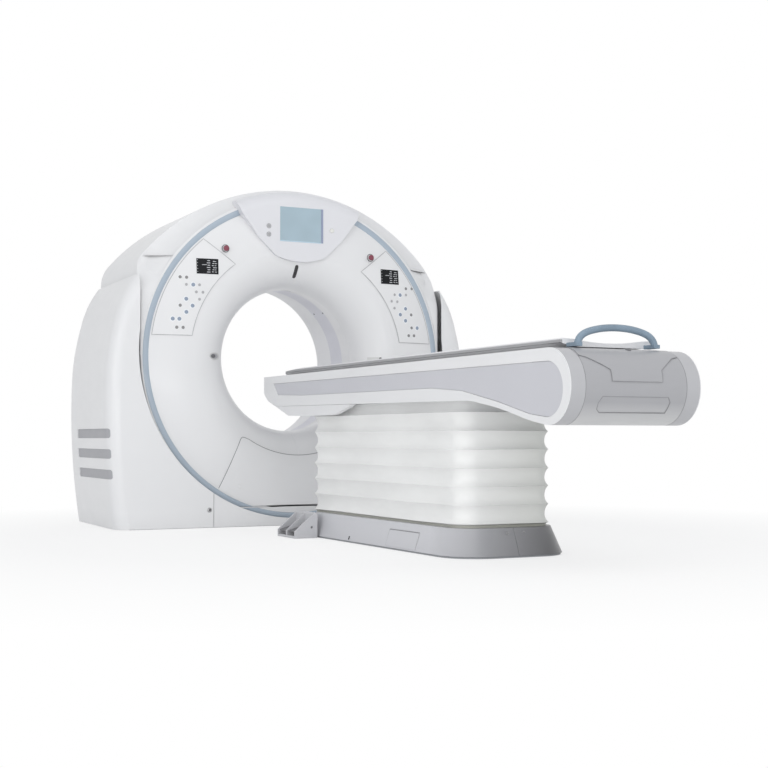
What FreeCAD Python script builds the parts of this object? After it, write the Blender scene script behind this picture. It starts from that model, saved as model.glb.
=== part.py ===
import FreeCAD, Part
import math
import os
import re
from types import SimpleNamespace

import Sketcher

# A computed tomography scanner: a tilting gantry between two side stands, and a
# patient couch that rises on telescopic columns inside a bellows.
# The origin is on the floor under the point where the bore axis crosses the tilt axis.
# +X is to the right seen from the couch, +Y points into the bore, +Z is up. Millimetres.

VECTOR = FreeCAD.Vector
ROTATION = FreeCAD.Rotation
PLACEMENT = FreeCAD.Placement
X_AXIS = VECTOR(1, 0, 0)
Y_AXIS = VECTOR(0, 1, 0)
Z_AXIS = VECTOR(0, 0, 1)
DIMENSIONS = (
    # gantry head
    ("iso_height", 923, "floor to the bore axis and the tilt axis"),
    ("ring_depth", 370, "tilt axis to the plane of the trim ring"),
    ("ring_inner", 855, "inner radius of the blue trim ring"),
    ("ring_outer", 886, "outer radius of the blue trim ring"),
    ("face_bulge", 35, "how far the front cover stands ahead of the ring"),
    ("apex_radius", 600, "radius at which the front cover stands furthest forward"),
    ("lip_radius", 400, "narrowest radius of the bore"),
    ("seam_radius", 418, "bore radius at the front cover seam"),
    ("seam_depth", 65, "front cover seam to the tilt axis"),
    ("window_end", 120, "rear edge of the scan window behind the tilt axis"),
    ("window_radius", 430, "bore radius at the rear edge of the scan window"),
    ("liner_end", 372, "rear edge of the bore liner behind the tilt axis"),
    ("liner_radius", 460, "bore radius at the rear edge of the liner"),
    ("rear_depth", 505, "tilt axis to the rear face of the outer shell"),
    ("rear_apex", 620, "radius at which the rear cover stands furthest back"),
    ("drum_radius", 955, "top of the outer shell above the bore axis"),
    ("drum_drop", 174, "centre of the shell's round top below the bore axis"),
    ("rim_radius", 899, "outer radius of the front face"),
    ("shell_wall", 5, "wall of the covers"),
    ("head_half", 901, "half width of the head between the stands"),
    ("sill_gap", 3, "gap between the tilting head and the fixed sill under its front"),
    ("belly_clear", 23, "clearance of the belly to the floor as the head tilts"),
    ("sweep_radius", "=iso_height - belly_clear", "radius about the tilt axis that the belly keeps to"),
    ("ball_radius", "=iso_height + 45", "radius about the tilt centre that the lower half keeps to"),
    ("flange_inner", 835, "inner radius of the flanges that the covers lie on"),
    ("cover_seat", 0.3, "seating gap between covers"),
    # head furniture
    ("panel_inner", 634, "inner radius of a control panel"),
    ("panel_low", 110, "lower edge of a control panel above the tilt axis"),
    ("panel_proud", 2, "how far panels stand off the front cover"),
    ("estop_offset", 438, "emergency button from the middle"),
    ("estop_rise", 590, "emergency button above the bore axis"),
    ("estop_radius", 15, "radius of an emergency button"),
    ("service_top", 536, "radius of the top edge of the service panel"),
    ("housing_front", 422, "tilt axis to the face of the display housing"),
    ("screen_width", 248, "width of the display"),
    ("screen_tall", 188, "height of the display"),
    ("screen_rise", "=drum_radius - 206", "middle of the display above the bore axis"),
    # inside the head
    ("bulkhead_place", 230, "front face of the bulkhead behind the tilt axis"),
    ("bulkhead_thick", 30, "thickness of the bulkhead"),
    ("bearing_outer", 520, "outer radius of the main bearing"),
    ("bearing_inner", 490, "inner radius of the main bearing"),
    ("hub_bore", 470, "inner radius of the rotor hub"),
    ("rotor_radius", 800, "radius of the rotor"),
    ("rotor_plate", 24, "thickness of the rotor plate"),
    ("rotor_face", 190, "front face of the rotor plate behind the tilt axis"),
    ("rotor_front", 150, "front edge of the rotor rim ahead of the tilt axis"),
    ("focus_rise", 640, "middle of the X-ray tube above the bore axis"),
    ("tube_radius", 95, "radius of the tube housing"),
    ("detector_radius", 1150, "outer radius of the detector arc about the focus"),
    ("detector_deep", 55, "radial depth of the detector"),
    ("trunnion_radius", 60, "radius of a tilt trunnion"),
    ("trunnion_bearing", 85, "outer radius of a tilt bearing"),
    # stand
    ("stand_front", 400, "tilt axis to the front face of the stand"),
    ("stand_rear", 520, "tilt axis to the rear face of the stand"),
    ("stand_half", 1080, "greatest half width of the stand"),
    ("stand_rear_half", 1058, "half width of the stand at its rear"),
    ("stand_foot_half", 1030, "half width of the stand at the floor"),
    ("stand_top", "=iso_height + 429", "height of a side cover"),
    ("stand_inner", "=head_half + 8", "inner edge of a side cover from the middle"),
    ("stand_wall", 6, "wall of the stand covers"),
    ("stand_corner", 70, "radius of the upright corners of a side cover"),
    ("cradle_radius", "=iso_height - 8", "radius of the edge that follows the trim ring"),
    ("cradle_lift", 32, "middle of that edge above the tilt axis"),
    ("seam_offset", 496, "seam between side and middle covers from the middle"),
    ("seam_gap", 3, "width of that seam"),
    ("cover_lift", 2, "gap between the stand covers and the floor"),
    ("floor_plate", 12, "thickness of the gantry floor plate"),
    ("upright_place", "=head_half + 13", "inner face of an upright from the middle"),
    ("upright_thick", 45, "thickness of an upright"),
    ("vent_long", 680, "length of a side vent"),
    ("vent_tall", 50, "height of a side vent"),
    ("vent_rise", 507, "middle of the top vent above the floor"),
    ("vent_pitch", 108, "pitch of the vents"),
    # couch base
    ("skirt_half", 288, "half width of the couch base at the floor"),
    ("skirt_top_half", 250, "half width of the couch base at its top"),
    ("skirt_tall", 118, "height of the couch base"),
    ("skirt_front", 1105, "tilt axis to the front of the couch base"),
    ("skirt_foot", 2690, "tilt axis to the foot of the couch base"),
    ("skirt_wall", 6, "wall of the couch base"),
    ("base_thick", 30, "thickness of the couch base plate"),
    ("column_wide", 180, "width of the outer lift column"),
    ("column_length", 700, "length of the outer lift column along the couch"),
    ("column_wall", 8, "wall of the lift columns"),
    ("column_gap", 0.1, "running gap between the columns"),
    ("column_tall", 340, "height of each column"),
    ("column_place", 1900, "tilt axis to the middle of the lift column"),
    ("bellows_half", 235, "half width of the bellows at a ridge"),
    ("bellows_front", 1080, "tilt axis to the front of the bellows"),
    ("bellows_foot", 2612, "tilt axis to the foot of the bellows"),
    ("bellows_corner", 95, "radius of the corners of the bellows"),
    ("fold_depth", 15, "depth of a bellows fold"),
    ("fold_count", 7, "number of bellows ridges"),
    ("fold_first", 12, "lowest ridge above the couch base"),
    ("fold_last", 45, "highest ridge below the top of the bellows"),
    ("bellows_top", 640, "height of the top of the bellows"),
    ("bellows_wall", 3, "wall of the bellows"),
    # couch
    ("couch_half", 285, "half width of the couch"),
    ("couch_top", 806, "height of the top of the side frames"),
    ("couch_nose", 555, "tilt axis to the nose of the couch"),
    ("frame_thick", 20, "thickness of a side frame"),
    ("frame_under", 631, "height of the lower edge of a side frame"),
    ("barrel_place", 3335, "tilt axis to the middle of the foot barrel"),
    ("barrel_rise", 668, "middle of the foot barrel above the floor"),
    ("barrel_radius", 135, "radius of the foot barrel"),
    ("barrel_seam", 221, "seam of the foot barrel from the middle"),
    ("barrel_wall", 4, "wall of the foot barrel"),
    ("inlay_deep", 6, "depth of the pocket for a side panel"),
    ("inlay_thick", 4, "thickness of a side panel"),
    ("inlay_gap", 1.5, "gap around a side panel"),
    ("belly_drop", 592, "height of the lowest face under the couch nose"),
    ("belly_half", 284, "half width of the belly pan"),
    # tabletop
    ("deck_place", 797, "height of the underside of the deck"),
    ("deck_thick", 5, "thickness of the deck"),
    ("top_half", 210, "half width of the tabletop"),
    ("top_under", 815, "height of the underside of the tabletop"),
    ("top_thick", 30, "thickness of the tabletop at its edges"),
    ("top_dish", 12, "hollow of the tabletop"),
    ("top_nose", 592, "tilt axis to the front end of the tabletop"),
    ("top_foot", 3300, "tilt axis to the foot end of the tabletop"),
    ("handle_half", 172, "half width of the handle"),
    ("handle_rise", 75, "height of the handle arch"),
    ("handle_radius", 13, "radius of the handle bar"),
    ("handle_place", 3350, "tilt axis to the handle"),
    # foot control
    ("pedal_box_wide", 118, "depth of the pedal box"),
    ("pedal_box_long", 220, "length of the pedal box"),
    ("pedal_box_front", 1115, "tilt axis to the front of the pedal box"),
    ("pedal_tilt", 14, "rest angle of a pedal"),
)

document = FreeCAD.newDocument("ct_scanner")
sheet = document.addObject("Spreadsheet::Sheet", "Dims")
for row, (alias, number, note) in enumerate(DIMENSIONS, start=1):
    sheet.set("A%d" % row, alias)
    sheet.set("B%d" % row, str(number))
    sheet.setAlias("B%d" % row, alias)
    sheet.set("C%d" % row, note)
document.recompute()
dim = SimpleNamespace(**{alias: float(getattr(sheet, alias)) for alias, _, _ in DIMENSIONS})
nodes = {}


# ---------------------------------------------------------------- helpers

def value(expression):
    """The number that an expression of the driving dimensions gives."""
    return float(sheet.evalExpression(str(expression)))


def scoped(expression):
    """The expression as another object of the document has to write it."""
    return re.sub(r"\b([a-z]+(?:_[a-z]+)+)\b", r"Dims.\1", str(expression))


def bind(thing, **expressions):
    """Bind properties to expressions of the driving dimensions."""
    for name, expression in expressions.items():
        thing.setExpression(name.replace("__", "."), scoped(expression))


def node(name, thing):
    """Name a finished sub-part; the name is also its file's name."""
    thing.Label = name
    nodes[name] = thing
    return thing


def shape_node(name, shape):
    """A sub-part whose shape is worked out from the dimensions in this file."""
    thing = document.addObject("Part::Feature", name)
    thing.Shape = shape
    return node(name, thing)


def place(thing, base=("0", "0", "0"), axis=Z_AXIS, angle=0):
    """Bind the base point of a placement and set its turn."""
    thing.Placement = PLACEMENT(VECTOR(*(value(entry) for entry in base)), ROTATION(axis, angle))
    for letter, entry in zip("xyz", base):
        thing.setExpression("Placement.Base." + letter, scoped(entry))


def closed_sketch(body, role, corners, name):
    """A closed outline of corners (u, v) or (u, v, bulge), each an expression.

    A bulge curves the edge that starts at that corner: it is the arc's height
    over half its chord, to the left of the way along the outline.
    """
    sketch = body.newObject("Sketcher::SketchObject", name)
    plane = next(part for part in body.Origin.OriginFeatures if part.Role == role)
    sketch.AttachmentSupport = (plane, [""])
    sketch.MapMode = "FlatFace"
    points = [VECTOR(value(corner[0]), value(corner[1]), 0) for corner in corners]
    starts = []
    for index, corner in enumerate(corners):
        first, last = points[index], points[(index + 1) % len(points)]
        bulge = corner[2] if len(corner) > 2 else 0
        if bulge == 0:
            sketch.addGeometry(Part.LineSegment(first, last), False)
            starts.append(1)
            continue
        chord = last - first
        middle = (first + last) * 0.5 + VECTOR(-chord.y, chord.x, 0) * 0.5 * bulge
        if bulge > 0:
            sketch.addGeometry(Part.Arc(last, middle, first), False)
        else:
            sketch.addGeometry(Part.Arc(first, middle, last), False)
        starts.append(2 if bulge > 0 else 1)
    for index, start in enumerate(starts):
        after = (index + 1) % len(starts)
        sketch.addConstraint(Sketcher.Constraint("Coincident", index, 3 - start, after, starts[after]))
    for index, corner in enumerate(corners):
        for letter, kind, axis, entry in (("u", "DistanceX", -2, 0), ("v", "DistanceY", -1, 1)):
            number = points[index].x if entry == 0 else points[index].y
            if abs(number) < 1e-9:
                sketch.addConstraint(Sketcher.Constraint("PointOnObject", index, starts[index], axis))
                continue
            rule = Sketcher.Constraint(kind, -1, 1, index, starts[index], number)
            label = "%s%d" % (letter, index)
            sketch.renameConstraint(sketch.addConstraint(rule), label)
            sketch.setExpression("Constraints." + label, scoped(corner[entry]))
    return sketch


def turned(name, corners, base=("0", "0", "iso_height"), angle=360):
    """A body turned about a line along Y through the base point: corners are (radius, y)."""
    body = document.addObject("PartDesign::Body", name)
    sketch = closed_sketch(body, "XY_Plane", corners, name + "_profile")
    turn = body.newObject("PartDesign::Revolution", name + "_turn")
    turn.Profile = sketch
    turn.ReferenceAxis = (sketch, ["V_Axis"])
    turn.Angle = angle
    place(body, base)
    return body


def box(name, low, size):
    """A box from its low corner and size, each three expressions."""
    solid = document.addObject("Part::Box", name)
    bind(solid, Length=size[0], Width=size[1], Height=size[2])
    place(solid, low)
    return solid


def rod(name, radius, length, base, axis=Z_AXIS, angle=0):
    """A cylinder that starts at the base point and runs along the turned Z axis."""
    solid = document.addObject("Part::Cylinder", name)
    bind(solid, Radius=radius, Height=length)
    place(solid, base, axis, angle)
    return solid


def cut(name, base, tool):
    result = document.addObject("Part::Cut", name)
    result.Base = base
    result.Tool = tool
    return result


def common(name, base, tool):
    result = document.addObject("Part::Common", name)
    result.Base = base
    result.Tool = tool
    return result


def fused(name, *things):
    result = document.addObject("Part::MultiFuse", name)
    result.Shapes = list(things)
    return result


def wire(points, bulges=None):
    """A closed wire through points, with an arc where a bulge is given."""
    edges = []
    for index, first in enumerate(points):
        last = points[(index + 1) % len(points)]
        bulge = (bulges or {}).get(index, 0)
        if bulge == 0:
            edges.append(Part.makeLine(first, last))
            continue
        chord = last - first
        normal = VECTOR(chord)
        side = wire.normal.cross(normal)
        middle = (first + last) * 0.5 + side * 0.5 * bulge
        edges.append(Part.Arc(first, middle, last).toShape())
    return Part.Wire(edges)


wire.normal = Z_AXIS


QUARTER = math.tan(math.pi / 8)   # bulge of a quarter circle
PEDAL_OUTER = -415                # left face of the foot control


# ---------------------------------------------------------------- head: space it keeps to

def envelope(inset):
    """The space of the tilting head, drawn in by an inset: flat flanks, and a lower
    half that a cylinder about the tilt axis and a ball about its middle trim back."""
    half = dim.head_half - inset
    height = dim.iso_height
    reach = 2 * dim.drum_radius
    belly = Part.makeCylinder(dim.sweep_radius - inset, 2 * half, VECTOR(-half, 0, height), X_AXIS)
    ball = Part.makeSphere(dim.ball_radius - inset, VECTOR(0, 0, height))
    upper = Part.makeBox(2 * half, reach, reach, VECTOR(-half, -reach / 2, height))
    return belly.common(ball).fuse(upper)


def drum_outline(inset):
    """Front view of the head: one wide round top that eases into flat flanks."""
    drop = dim.drum_drop
    radius = dim.drum_radius + drop - inset
    half = dim.head_half - inset
    centre = dim.iso_height - drop

    def spot(angle):
        return VECTOR(radius * math.sin(angle), 0, centre + radius * math.cos(angle))

    turn = math.asin(half / radius)
    bend = 60
    knee = spot(turn)
    above = spot(turn - bend / radius)
    below = VECTOR(half, 0, knee.z - bend)
    middle = (above + below) * 0.5
    mid = middle + (knee - middle) * 0.49
    foot = VECTOR(half, 0, -radius)
    edges = []
    for sign in (1, -1):
        high, ease, low, base = [VECTOR(sign * point.x, 0, point.z) for point in
                                 (above, mid, below, foot)]
        edges += [Part.Arc(high, ease, low).toShape(), Part.makeLine(low, base)]
    edges.append(Part.makeLine(foot, VECTOR(-half, 0, -radius)))
    edges.append(Part.Arc(VECTOR(-above.x, 0, above.z), spot(0), above).toShape())
    return Part.Face(Part.Wire(Part.__sortEdges__(edges)))


def drum_space(inset):
    """The outer form of the head, drawn in by an inset, inside its envelope."""
    outline = drum_outline(inset)
    outline.translate(VECTOR(0, -dim.drum_radius, 0))
    solid = outline.extrude(Y_AXIS * 2 * dim.drum_radius)
    front = inset - dim.ring_depth
    rear = dim.rear_depth - inset
    rim = dim.rim_radius - inset
    drum = dim.drum_radius - inset
    wide = dim.drum_radius + 245
    profile = [VECTOR(0, front, 0), VECTOR(rim - 8, front, 0), VECTOR(rim, front + 4, 0),
               VECTOR(drum + 65, front + 90, 0), VECTOR(wide, front + 250, 0),
               VECTOR(wide, rear - 90, 0), VECTOR(drum + 32, rear - 70, 0),
               VECTOR(rim, rear - 5, 0), VECTOR(rim - 10, rear, 0), VECTOR(0, rear, 0)]
    wire.normal = Z_AXIS
    section = Part.Face(wire(profile, {2: 0.28, 6: 0.35}))
    section.translate(VECTOR(0, 0, dim.iso_height))
    limits = section.revolve(VECTOR(0, 0, dim.iso_height), Y_AXIS, 360)
    return solid.common(envelope(inset)).common(limits)


def disc(radius, front, rear):
    """A disc on the bore axis between two planes, measured back from the tilt axis."""
    return Part.makeCylinder(radius, rear - front, VECTOR(0, front, dim.iso_height), Y_AXIS)


def trimmed(name, body, inset):
    """A turned cover cut back to the head's envelope."""
    limits = document.addObject("Part::Feature", name + "_limits")
    limits.Shape = envelope(inset)
    return node(name, common(name, body, limits))


# ---------------------------------------------------------------- head: covers

def dome(offset):
    """The outer line of the front cover, moved out by an offset: dome, lip and bore."""
    front = -(dim.ring_depth + dim.face_bulge)
    reach = dim.ring_inner - 0.5 - dim.apex_radius
    radius = (reach ** 2 + dim.face_bulge ** 2) / (2 * dim.face_bulge)
    centre = VECTOR(dim.apex_radius, front + radius, 0)
    outer = VECTOR(reach, -math.sqrt((radius + offset) ** 2 - reach ** 2), 0) + centre
    apex = VECTOR(dim.apex_radius, front - offset, 0)
    curve = dim.apex_radius - dim.lip_radius
    lip = VECTOR(dim.lip_radius - offset, front + curve, 0)
    halfway = math.asin(reach / (radius + offset)) / 2
    on_dome = centre + VECTOR(math.sin(halfway), -math.cos(halfway), 0) * (radius + offset)
    on_lip = VECTOR(apex.x, lip.y, 0) + VECTOR(-1, -1, 0).normalize() * (curve + offset)
    return [Part.Arc(outer, on_dome, apex).toShape(), Part.Arc(apex, on_lip, lip).toShape()], outer, lip


def revolved(edges):
    """A solid turned about the bore axis from edges in radius and depth."""
    profile = Part.Face(Part.Wire(Part.__sortEdges__(edges)))
    profile.translate(VECTOR(0, 0, dim.iso_height))
    return profile.revolve(VECTOR(0, 0, dim.iso_height), Y_AXIS, 360)


def face_layer(low, high):
    """The space between two offsets of the front cover's outer surface."""
    near, near_outer, near_lip = dome(low)
    far, far_outer, far_lip = dome(high)
    ends = [Part.makeLine(near_outer, far_outer), Part.makeLine(near_lip, far_lip)]
    return revolved(near + far + ends)


def face_block(offset):
    """Everything behind the front cover's outer surface, moved out by an offset."""
    line, outer, lip = dome(offset)
    back_outer = VECTOR(outer.x, 0, 0)
    back_lip = VECTOR(lip.x, 0, 0)
    line += [Part.makeLine(outer, back_outer), Part.makeLine(back_outer, back_lip),
             Part.makeLine(back_lip, lip)]
    return revolved(line)


def front_prism(points):
    """A prism through the front of the head from corners (x, height above the bore axis)."""
    corners = [VECTOR(x, -600, dim.iso_height + z) for x, z in points]
    corners.append(corners[0])
    return Part.Face(Part.makePolygon(corners)).extrude(Y_AXIS * 500)


def annulus(outer, inner, front, rear):
    return disc(outer, front, rear).cut(disc(inner, front - 1, rear + 1))


def mirrored(shape):
    return shape.mirror(VECTOR(0, 0, 0), X_AXIS)


# ---------------------------------------------------------------- head: covers

def front_cover():
    """The moulded front: a shallow dome that rolls over the lip into the bore."""
    face = "-(ring_depth + face_bulge)"
    lip = "apex_radius - lip_radius - ring_depth - face_bulge"
    reach = dim.ring_inner - 0.5 - dim.apex_radius
    shallow = math.tan(math.atan(dim.face_bulge / reach) / 2)
    form = turned("front_cover_form", [
        ("ring_inner - 0.5", "-ring_depth", shallow),
        ("apex_radius", face, QUARTER),
        ("lip_radius", lip),
        ("seam_radius", "-seam_depth"),
        ("seam_radius + shell_wall", "-seam_depth"),
        ("lip_radius + shell_wall", lip, -QUARTER),
        ("apex_radius", face + " + shell_wall", -shallow),
        ("ring_inner - 0.5", "shell_wall - ring_depth"),
    ])
    limits = document.addObject("Part::Feature", "front_cover_limits")
    limits.Shape = envelope(dim.shell_wall + dim.cover_seat)
    skin = common("front_cover_skin", form, limits)
    collars = []
    for side, sign in (("left", "-"), ("right", "")):
        spot = (sign + "estop_offset", "-(ring_depth + 40)", "iso_height + estop_rise")
        ring = rod(side + "_estop_ring", "estop_radius + 5", "22", spot, X_AXIS, -90)
        bore = rod(side + "_estop_bore", "estop_radius - 6.9", "40", spot, X_AXIS, -90)
        collars.append((ring, bore))
    block = document.addObject("Part::Feature", "front_cover_inside")
    block.Shape = face_block(-1)
    rings = fused("estop_rings", *[ring for ring, _ in collars])
    bosses = cut("estop_bosses", rings, block)
    bores = fused("estop_bores", *[bore for _, bore in collars])
    whole = fused("front_cover_whole", skin, bosses)
    node("front_cover", cut("front_cover_bored", whole, bores))


def trim_ring():
    """The blue ring round the front; its foot is fixed to the stand with the sill."""
    form = turned("trim_ring_form", [
        ("ring_inner", "-ring_depth", -0.2),
        ("ring_outer", "-ring_depth"),
        ("ring_outer", "shell_wall - ring_depth"),
        ("ring_inner", "shell_wall - ring_depth"),
    ])
    trimmed("trim_ring", form, dim.shell_wall + dim.cover_seat)
    limits = document.addObject("Part::Feature", "sill_ring_limits")
    limits.Shape = envelope(-dim.sill_gap)
    node("sill_ring", cut("sill_ring", form, limits))


def front_sill():
    """The fixed foot of the front: it completes the dome below the head and stands on the floor plate."""
    seat = dim.shell_wall + dim.cover_seat - dim.ring_depth
    top = dim.iso_height - dim.ring_inner + 100
    skin = face_layer(-dim.shell_wall, 0)
    backing = disc(dim.ring_inner - 0.5, -dim.ring_depth + 1, seat + dim.shell_wall)
    backing = backing.cut(face_block(-1).common(disc(dim.ring_inner, -600, -dim.ring_depth + 1)))
    web = Part.makeBox(700, dim.shell_wall, top, VECTOR(-350, seat, dim.floor_plate))
    foot = Part.makeBox(700, 600, top + dim.floor_plate, VECTOR(-350, -600, 0))
    whole = skin.fuse([backing, web]).common(foot).cut(envelope(-dim.sill_gap))
    shape_node("front_sill", max(whole.Solids, key=lambda solid: solid.Volume).removeSplitter())


def outer_shell():
    """The drum of the head: outer skin, flat flanks, cut-back belly and both flanges."""
    seat = dim.shell_wall + dim.cover_seat
    shell = drum_space(0).cut(drum_space(dim.shell_wall))
    shell = shell.cut(disc(dim.ring_outer + 0.5, -dim.ring_depth - 50, seat - dim.ring_depth))
    flange = disc(dim.ring_outer + 20, seat - dim.ring_depth, 2 * seat - dim.ring_depth)
    shell = shell.fuse(flange.common(drum_space(dim.shell_wall)))
    shell = shell.cut(disc(dim.flange_inner, -dim.ring_depth - 50, -dim.ring_depth + 50))
    shell = shell.cut(disc(dim.flange_inner, dim.rear_depth - 50, dim.rear_depth + 50))
    axle = Part.makeCylinder(dim.trunnion_radius + 15, 2 * dim.head_half + 20,
                             VECTOR(-dim.head_half - 10, 0, dim.iso_height), X_AXIS)
    shape_node("outer_shell", shell.cut(axle))


def rear_cover():
    face = "rear_depth + cover_seat"
    form = turned("rear_cover_form", [
        ("liner_radius", "liner_end", 0.38),
        ("rear_apex", face + " + 15", 0.06),
        ("ring_outer", face + " + shell_wall"),
        ("ring_outer", face, -0.06),
        ("rear_apex", face + " + 15 - shell_wall", -0.38),
        ("liner_radius + shell_wall", "liner_end"),
    ])
    trimmed("rear_cover", form, dim.shell_wall + dim.cover_seat)


def bore():
    node("scan_window", turned("scan_window", [
        ("seam_radius", "-seam_depth"),
        ("seam_radius + shell_wall", "-seam_depth"),
        ("window_radius + shell_wall", "window_end"),
        ("window_radius", "window_end"),
    ]))
    node("bore_liner", turned("bore_liner", [
        ("window_radius", "window_end"),
        ("window_radius + shell_wall", "window_end"),
        ("liner_radius + shell_wall", "liner_end"),
        ("liner_radius", "liner_end"),
    ]))


# ---------------------------------------------------------------- head: display, panels, buttons

def display():
    """The shield-shaped display housing over the top of the front, with its screen."""
    half = [(150, -384), (254, -283), (348, -160), (366, -117), (372, -50), (366, 55)]
    half = [(x, dim.drum_radius + below) for x, below in half]
    outline = half + [(-x, z) for x, z in reversed(half)]

    def shield(inset):
        corners = [VECTOR(x, 0, z + dim.iso_height) for x, z in outline]
        edges = [Part.makeLine(corners[index], corners[index + 1]) for index in range(11)]
        lowest = VECTOR(0, 0, dim.iso_height + dim.drum_radius - 415)
        edges.append(Part.Arc(corners[11], lowest, corners[0]).toShape())
        whole = Part.Wire(Part.__sortEdges__(edges))
        if inset:
            whole = whole.makeOffset2D(-inset, 2)
        face = Part.Face(whole)
        face.translate(VECTOR(0, -dim.housing_front - 10, 0))
        return face.extrude(Y_AXIS * 260)

    def limits(inset):
        front = -dim.housing_front + inset
        rim = dim.drum_radius - 15 - inset
        return revolved([
            Part.makeLine(VECTOR(0, front, 0), VECTOR(rim - 70, front, 0)),
            Part.Arc(VECTOR(rim - 70, front, 0), VECTOR(rim - 22, front + 20, 0),
                     VECTOR(rim, front + 68, 0)).toShape(),
            Part.makeLine(VECTOR(rim, front + 68, 0), VECTOR(rim, -200, 0)),
            Part.makeLine(VECTOR(rim, -200, 0), VECTOR(0, -200, 0)),
            Part.makeLine(VECTOR(0, -200, 0), VECTOR(0, front, 0))])

    wall = dim.shell_wall
    seat = dim.cover_seat
    outer = shield(0).common(limits(0))
    hollow = shield(wall).common(limits(wall))
    head = face_block(seat).fuse(drum_space(-seat)).fuse(disc(dim.ring_outer + 1, -dim.ring_depth - 5, 0))
    housing = outer.cut(hollow).cut(head)
    centre = dim.iso_height + dim.screen_rise
    wide, tall = dim.screen_width, dim.screen_tall
    corner = VECTOR(-wide / 2 - 8, -dim.housing_front, centre - tall / 2 - 8)
    frame = Part.makeBox(wide + 16, 15, tall + 16, corner)
    pocket = Part.makeBox(wide, 9, tall, VECTOR(-wide / 2, -dim.housing_front - 1, centre - tall / 2))
    housing = housing.fuse(frame.cut(head)).cut(pocket)
    housing = max(housing.Solids, key=lambda solid: solid.Volume)
    shape_node("display_housing", housing)
    screen = box("display_screen", ("0.3 - screen_width / 2", "-housing_front - 0.5",
                                    "iso_height + screen_rise - screen_tall / 2 + 0.3"),
                 ("screen_width - 0.6", "8.5", "screen_tall - 0.6"))
    node("display_screen", screen)


def sector_panel():
    """A control panel: it follows the trim ring outside and a circle inside."""
    low = dim.panel_low
    outer = dim.ring_inner - 5
    space = front_prism([(360, 489), (560, 656), (1000, 656), (1000, low), (560, low)])
    space = space.common(annulus(outer, dim.panel_inner, -600, -100))
    return space.common(face_layer(0.3, 0.3 + dim.panel_proud))


LEFT_KEYS = ((-686, 424), (-652, 423), (-654, 384), (-617, 384), (-583, 384), (-601, 345), (-565, 345),
             (-584, 306), (-656, 306), (-689, 270), (-622, 270), (-656, 235), (-729, 197), (-694, 197),
             (-708, 151), (-674, 151))
RIGHT_KEYS = ((678, 426), (720, 428), (597, 386), (635, 386), (676, 389), (576, 347), (614, 346),
              (594, 308), (670, 308), (633, 272), (708, 274), (668, 238), (709, 198), (749, 199),
              (688, 152), (725, 153))


def panels():
    panel = sector_panel()
    proud = 0.3 + dim.panel_proud
    display_wide = 120
    for side, sign, inner, keys in (("left", -1, -477, LEFT_KEYS), ("right", 1, 509, RIGHT_KEYS)):
        own = mirrored(panel) if sign < 0 else panel
        studs = [Part.makeCylinder(12, 500, VECTOR(x, -600, dim.iso_height + z), Y_AXIS) for x, z in keys]
        raised = Part.makeCompound(studs).common(face_layer(proud - 0.2, proud + 1.2))
        near, far = inner + display_wide * sign, inner
        corners = [(far, 446), (near, 446), (near, 530), (far, 530)]
        glass = front_prism(corners).common(face_layer(proud, proud + 1.5))
        shape_node(side + "_panel_display", glass)
        shape_node(side + "_control_panel", own.fuse(raised.Solids))


def estops():
    for side, sign in (("left", "-"), ("right", "")):
        spot = (sign + "estop_offset", "-(ring_depth + 52)", "iso_height + estop_rise")
        head = rod(side + "_estop_head", "estop_radius", "6", spot, X_AXIS, -90)
        stem = rod(side + "_estop_stem", "estop_radius - 7", "17", spot, X_AXIS, -90)
        node(side + "_estop", fused(side + "_estop_button", head, stem))


def service_panel():
    """The removable panel under the bore: a fan between the bore and the trim ring."""
    half = [(321, -436), (345, -446), (470, -740), (470, -900)]
    space = front_prism(half + [(-x, z) for x, z in reversed(half)])
    space = space.common(annulus(dim.ring_inner - 5, dim.service_top, -600, -100))
    space = space.common(envelope(dim.shell_wall + dim.cover_seat))
    shape_node("service_panel", space.common(face_layer(0.3, 1.8)))


# ---------------------------------------------------------------- head: structure

def head_frame():
    """The welded bulkhead of the head with an arm and a trunnion on each side."""
    front = dim.bulkhead_place
    plate = annulus(dim.drum_radius, dim.bearing_outer, front, front + dim.bulkhead_thick)
    inside = drum_space(dim.shell_wall + dim.cover_seat)
    tall = 300
    arms = []
    for sign in (-1, 1):
        flank = dim.head_half - 2
        low = VECTOR(flank - 60 if sign > 0 else -flank, -80, dim.iso_height - tall / 2)
        arm = Part.makeBox(60, front + dim.bulkhead_thick + 80, tall, low)
        arms.append(arm.common(inside))
        root = dim.head_half - 42
        end = dim.upright_place + dim.upright_thick + 25
        start = VECTOR(sign * root, 0, dim.iso_height)
        arms.append(Part.makeCylinder(dim.trunnion_radius, end - root, start, VECTOR(sign, 0, 0)))
    shape_node("head_frame", plate.common(inside).fuse(arms).removeSplitter())


def head_fixed():
    bearing = turned("main_bearing", [
        ("bearing_inner", "bulkhead_place"), ("bearing_outer", "bulkhead_place"),
        ("bearing_outer", "bulkhead_place + bulkhead_thick"),
        ("bearing_inner", "bulkhead_place + bulkhead_thick")])
    node("main_bearing", bearing)
    node("brush_block", box("brush_block", ("-60", "bulkhead_place + bulkhead_thick", "iso_height + 560"),
                            ("120", "39.5", "70")))


# ---------------------------------------------------------------- rotor

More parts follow.
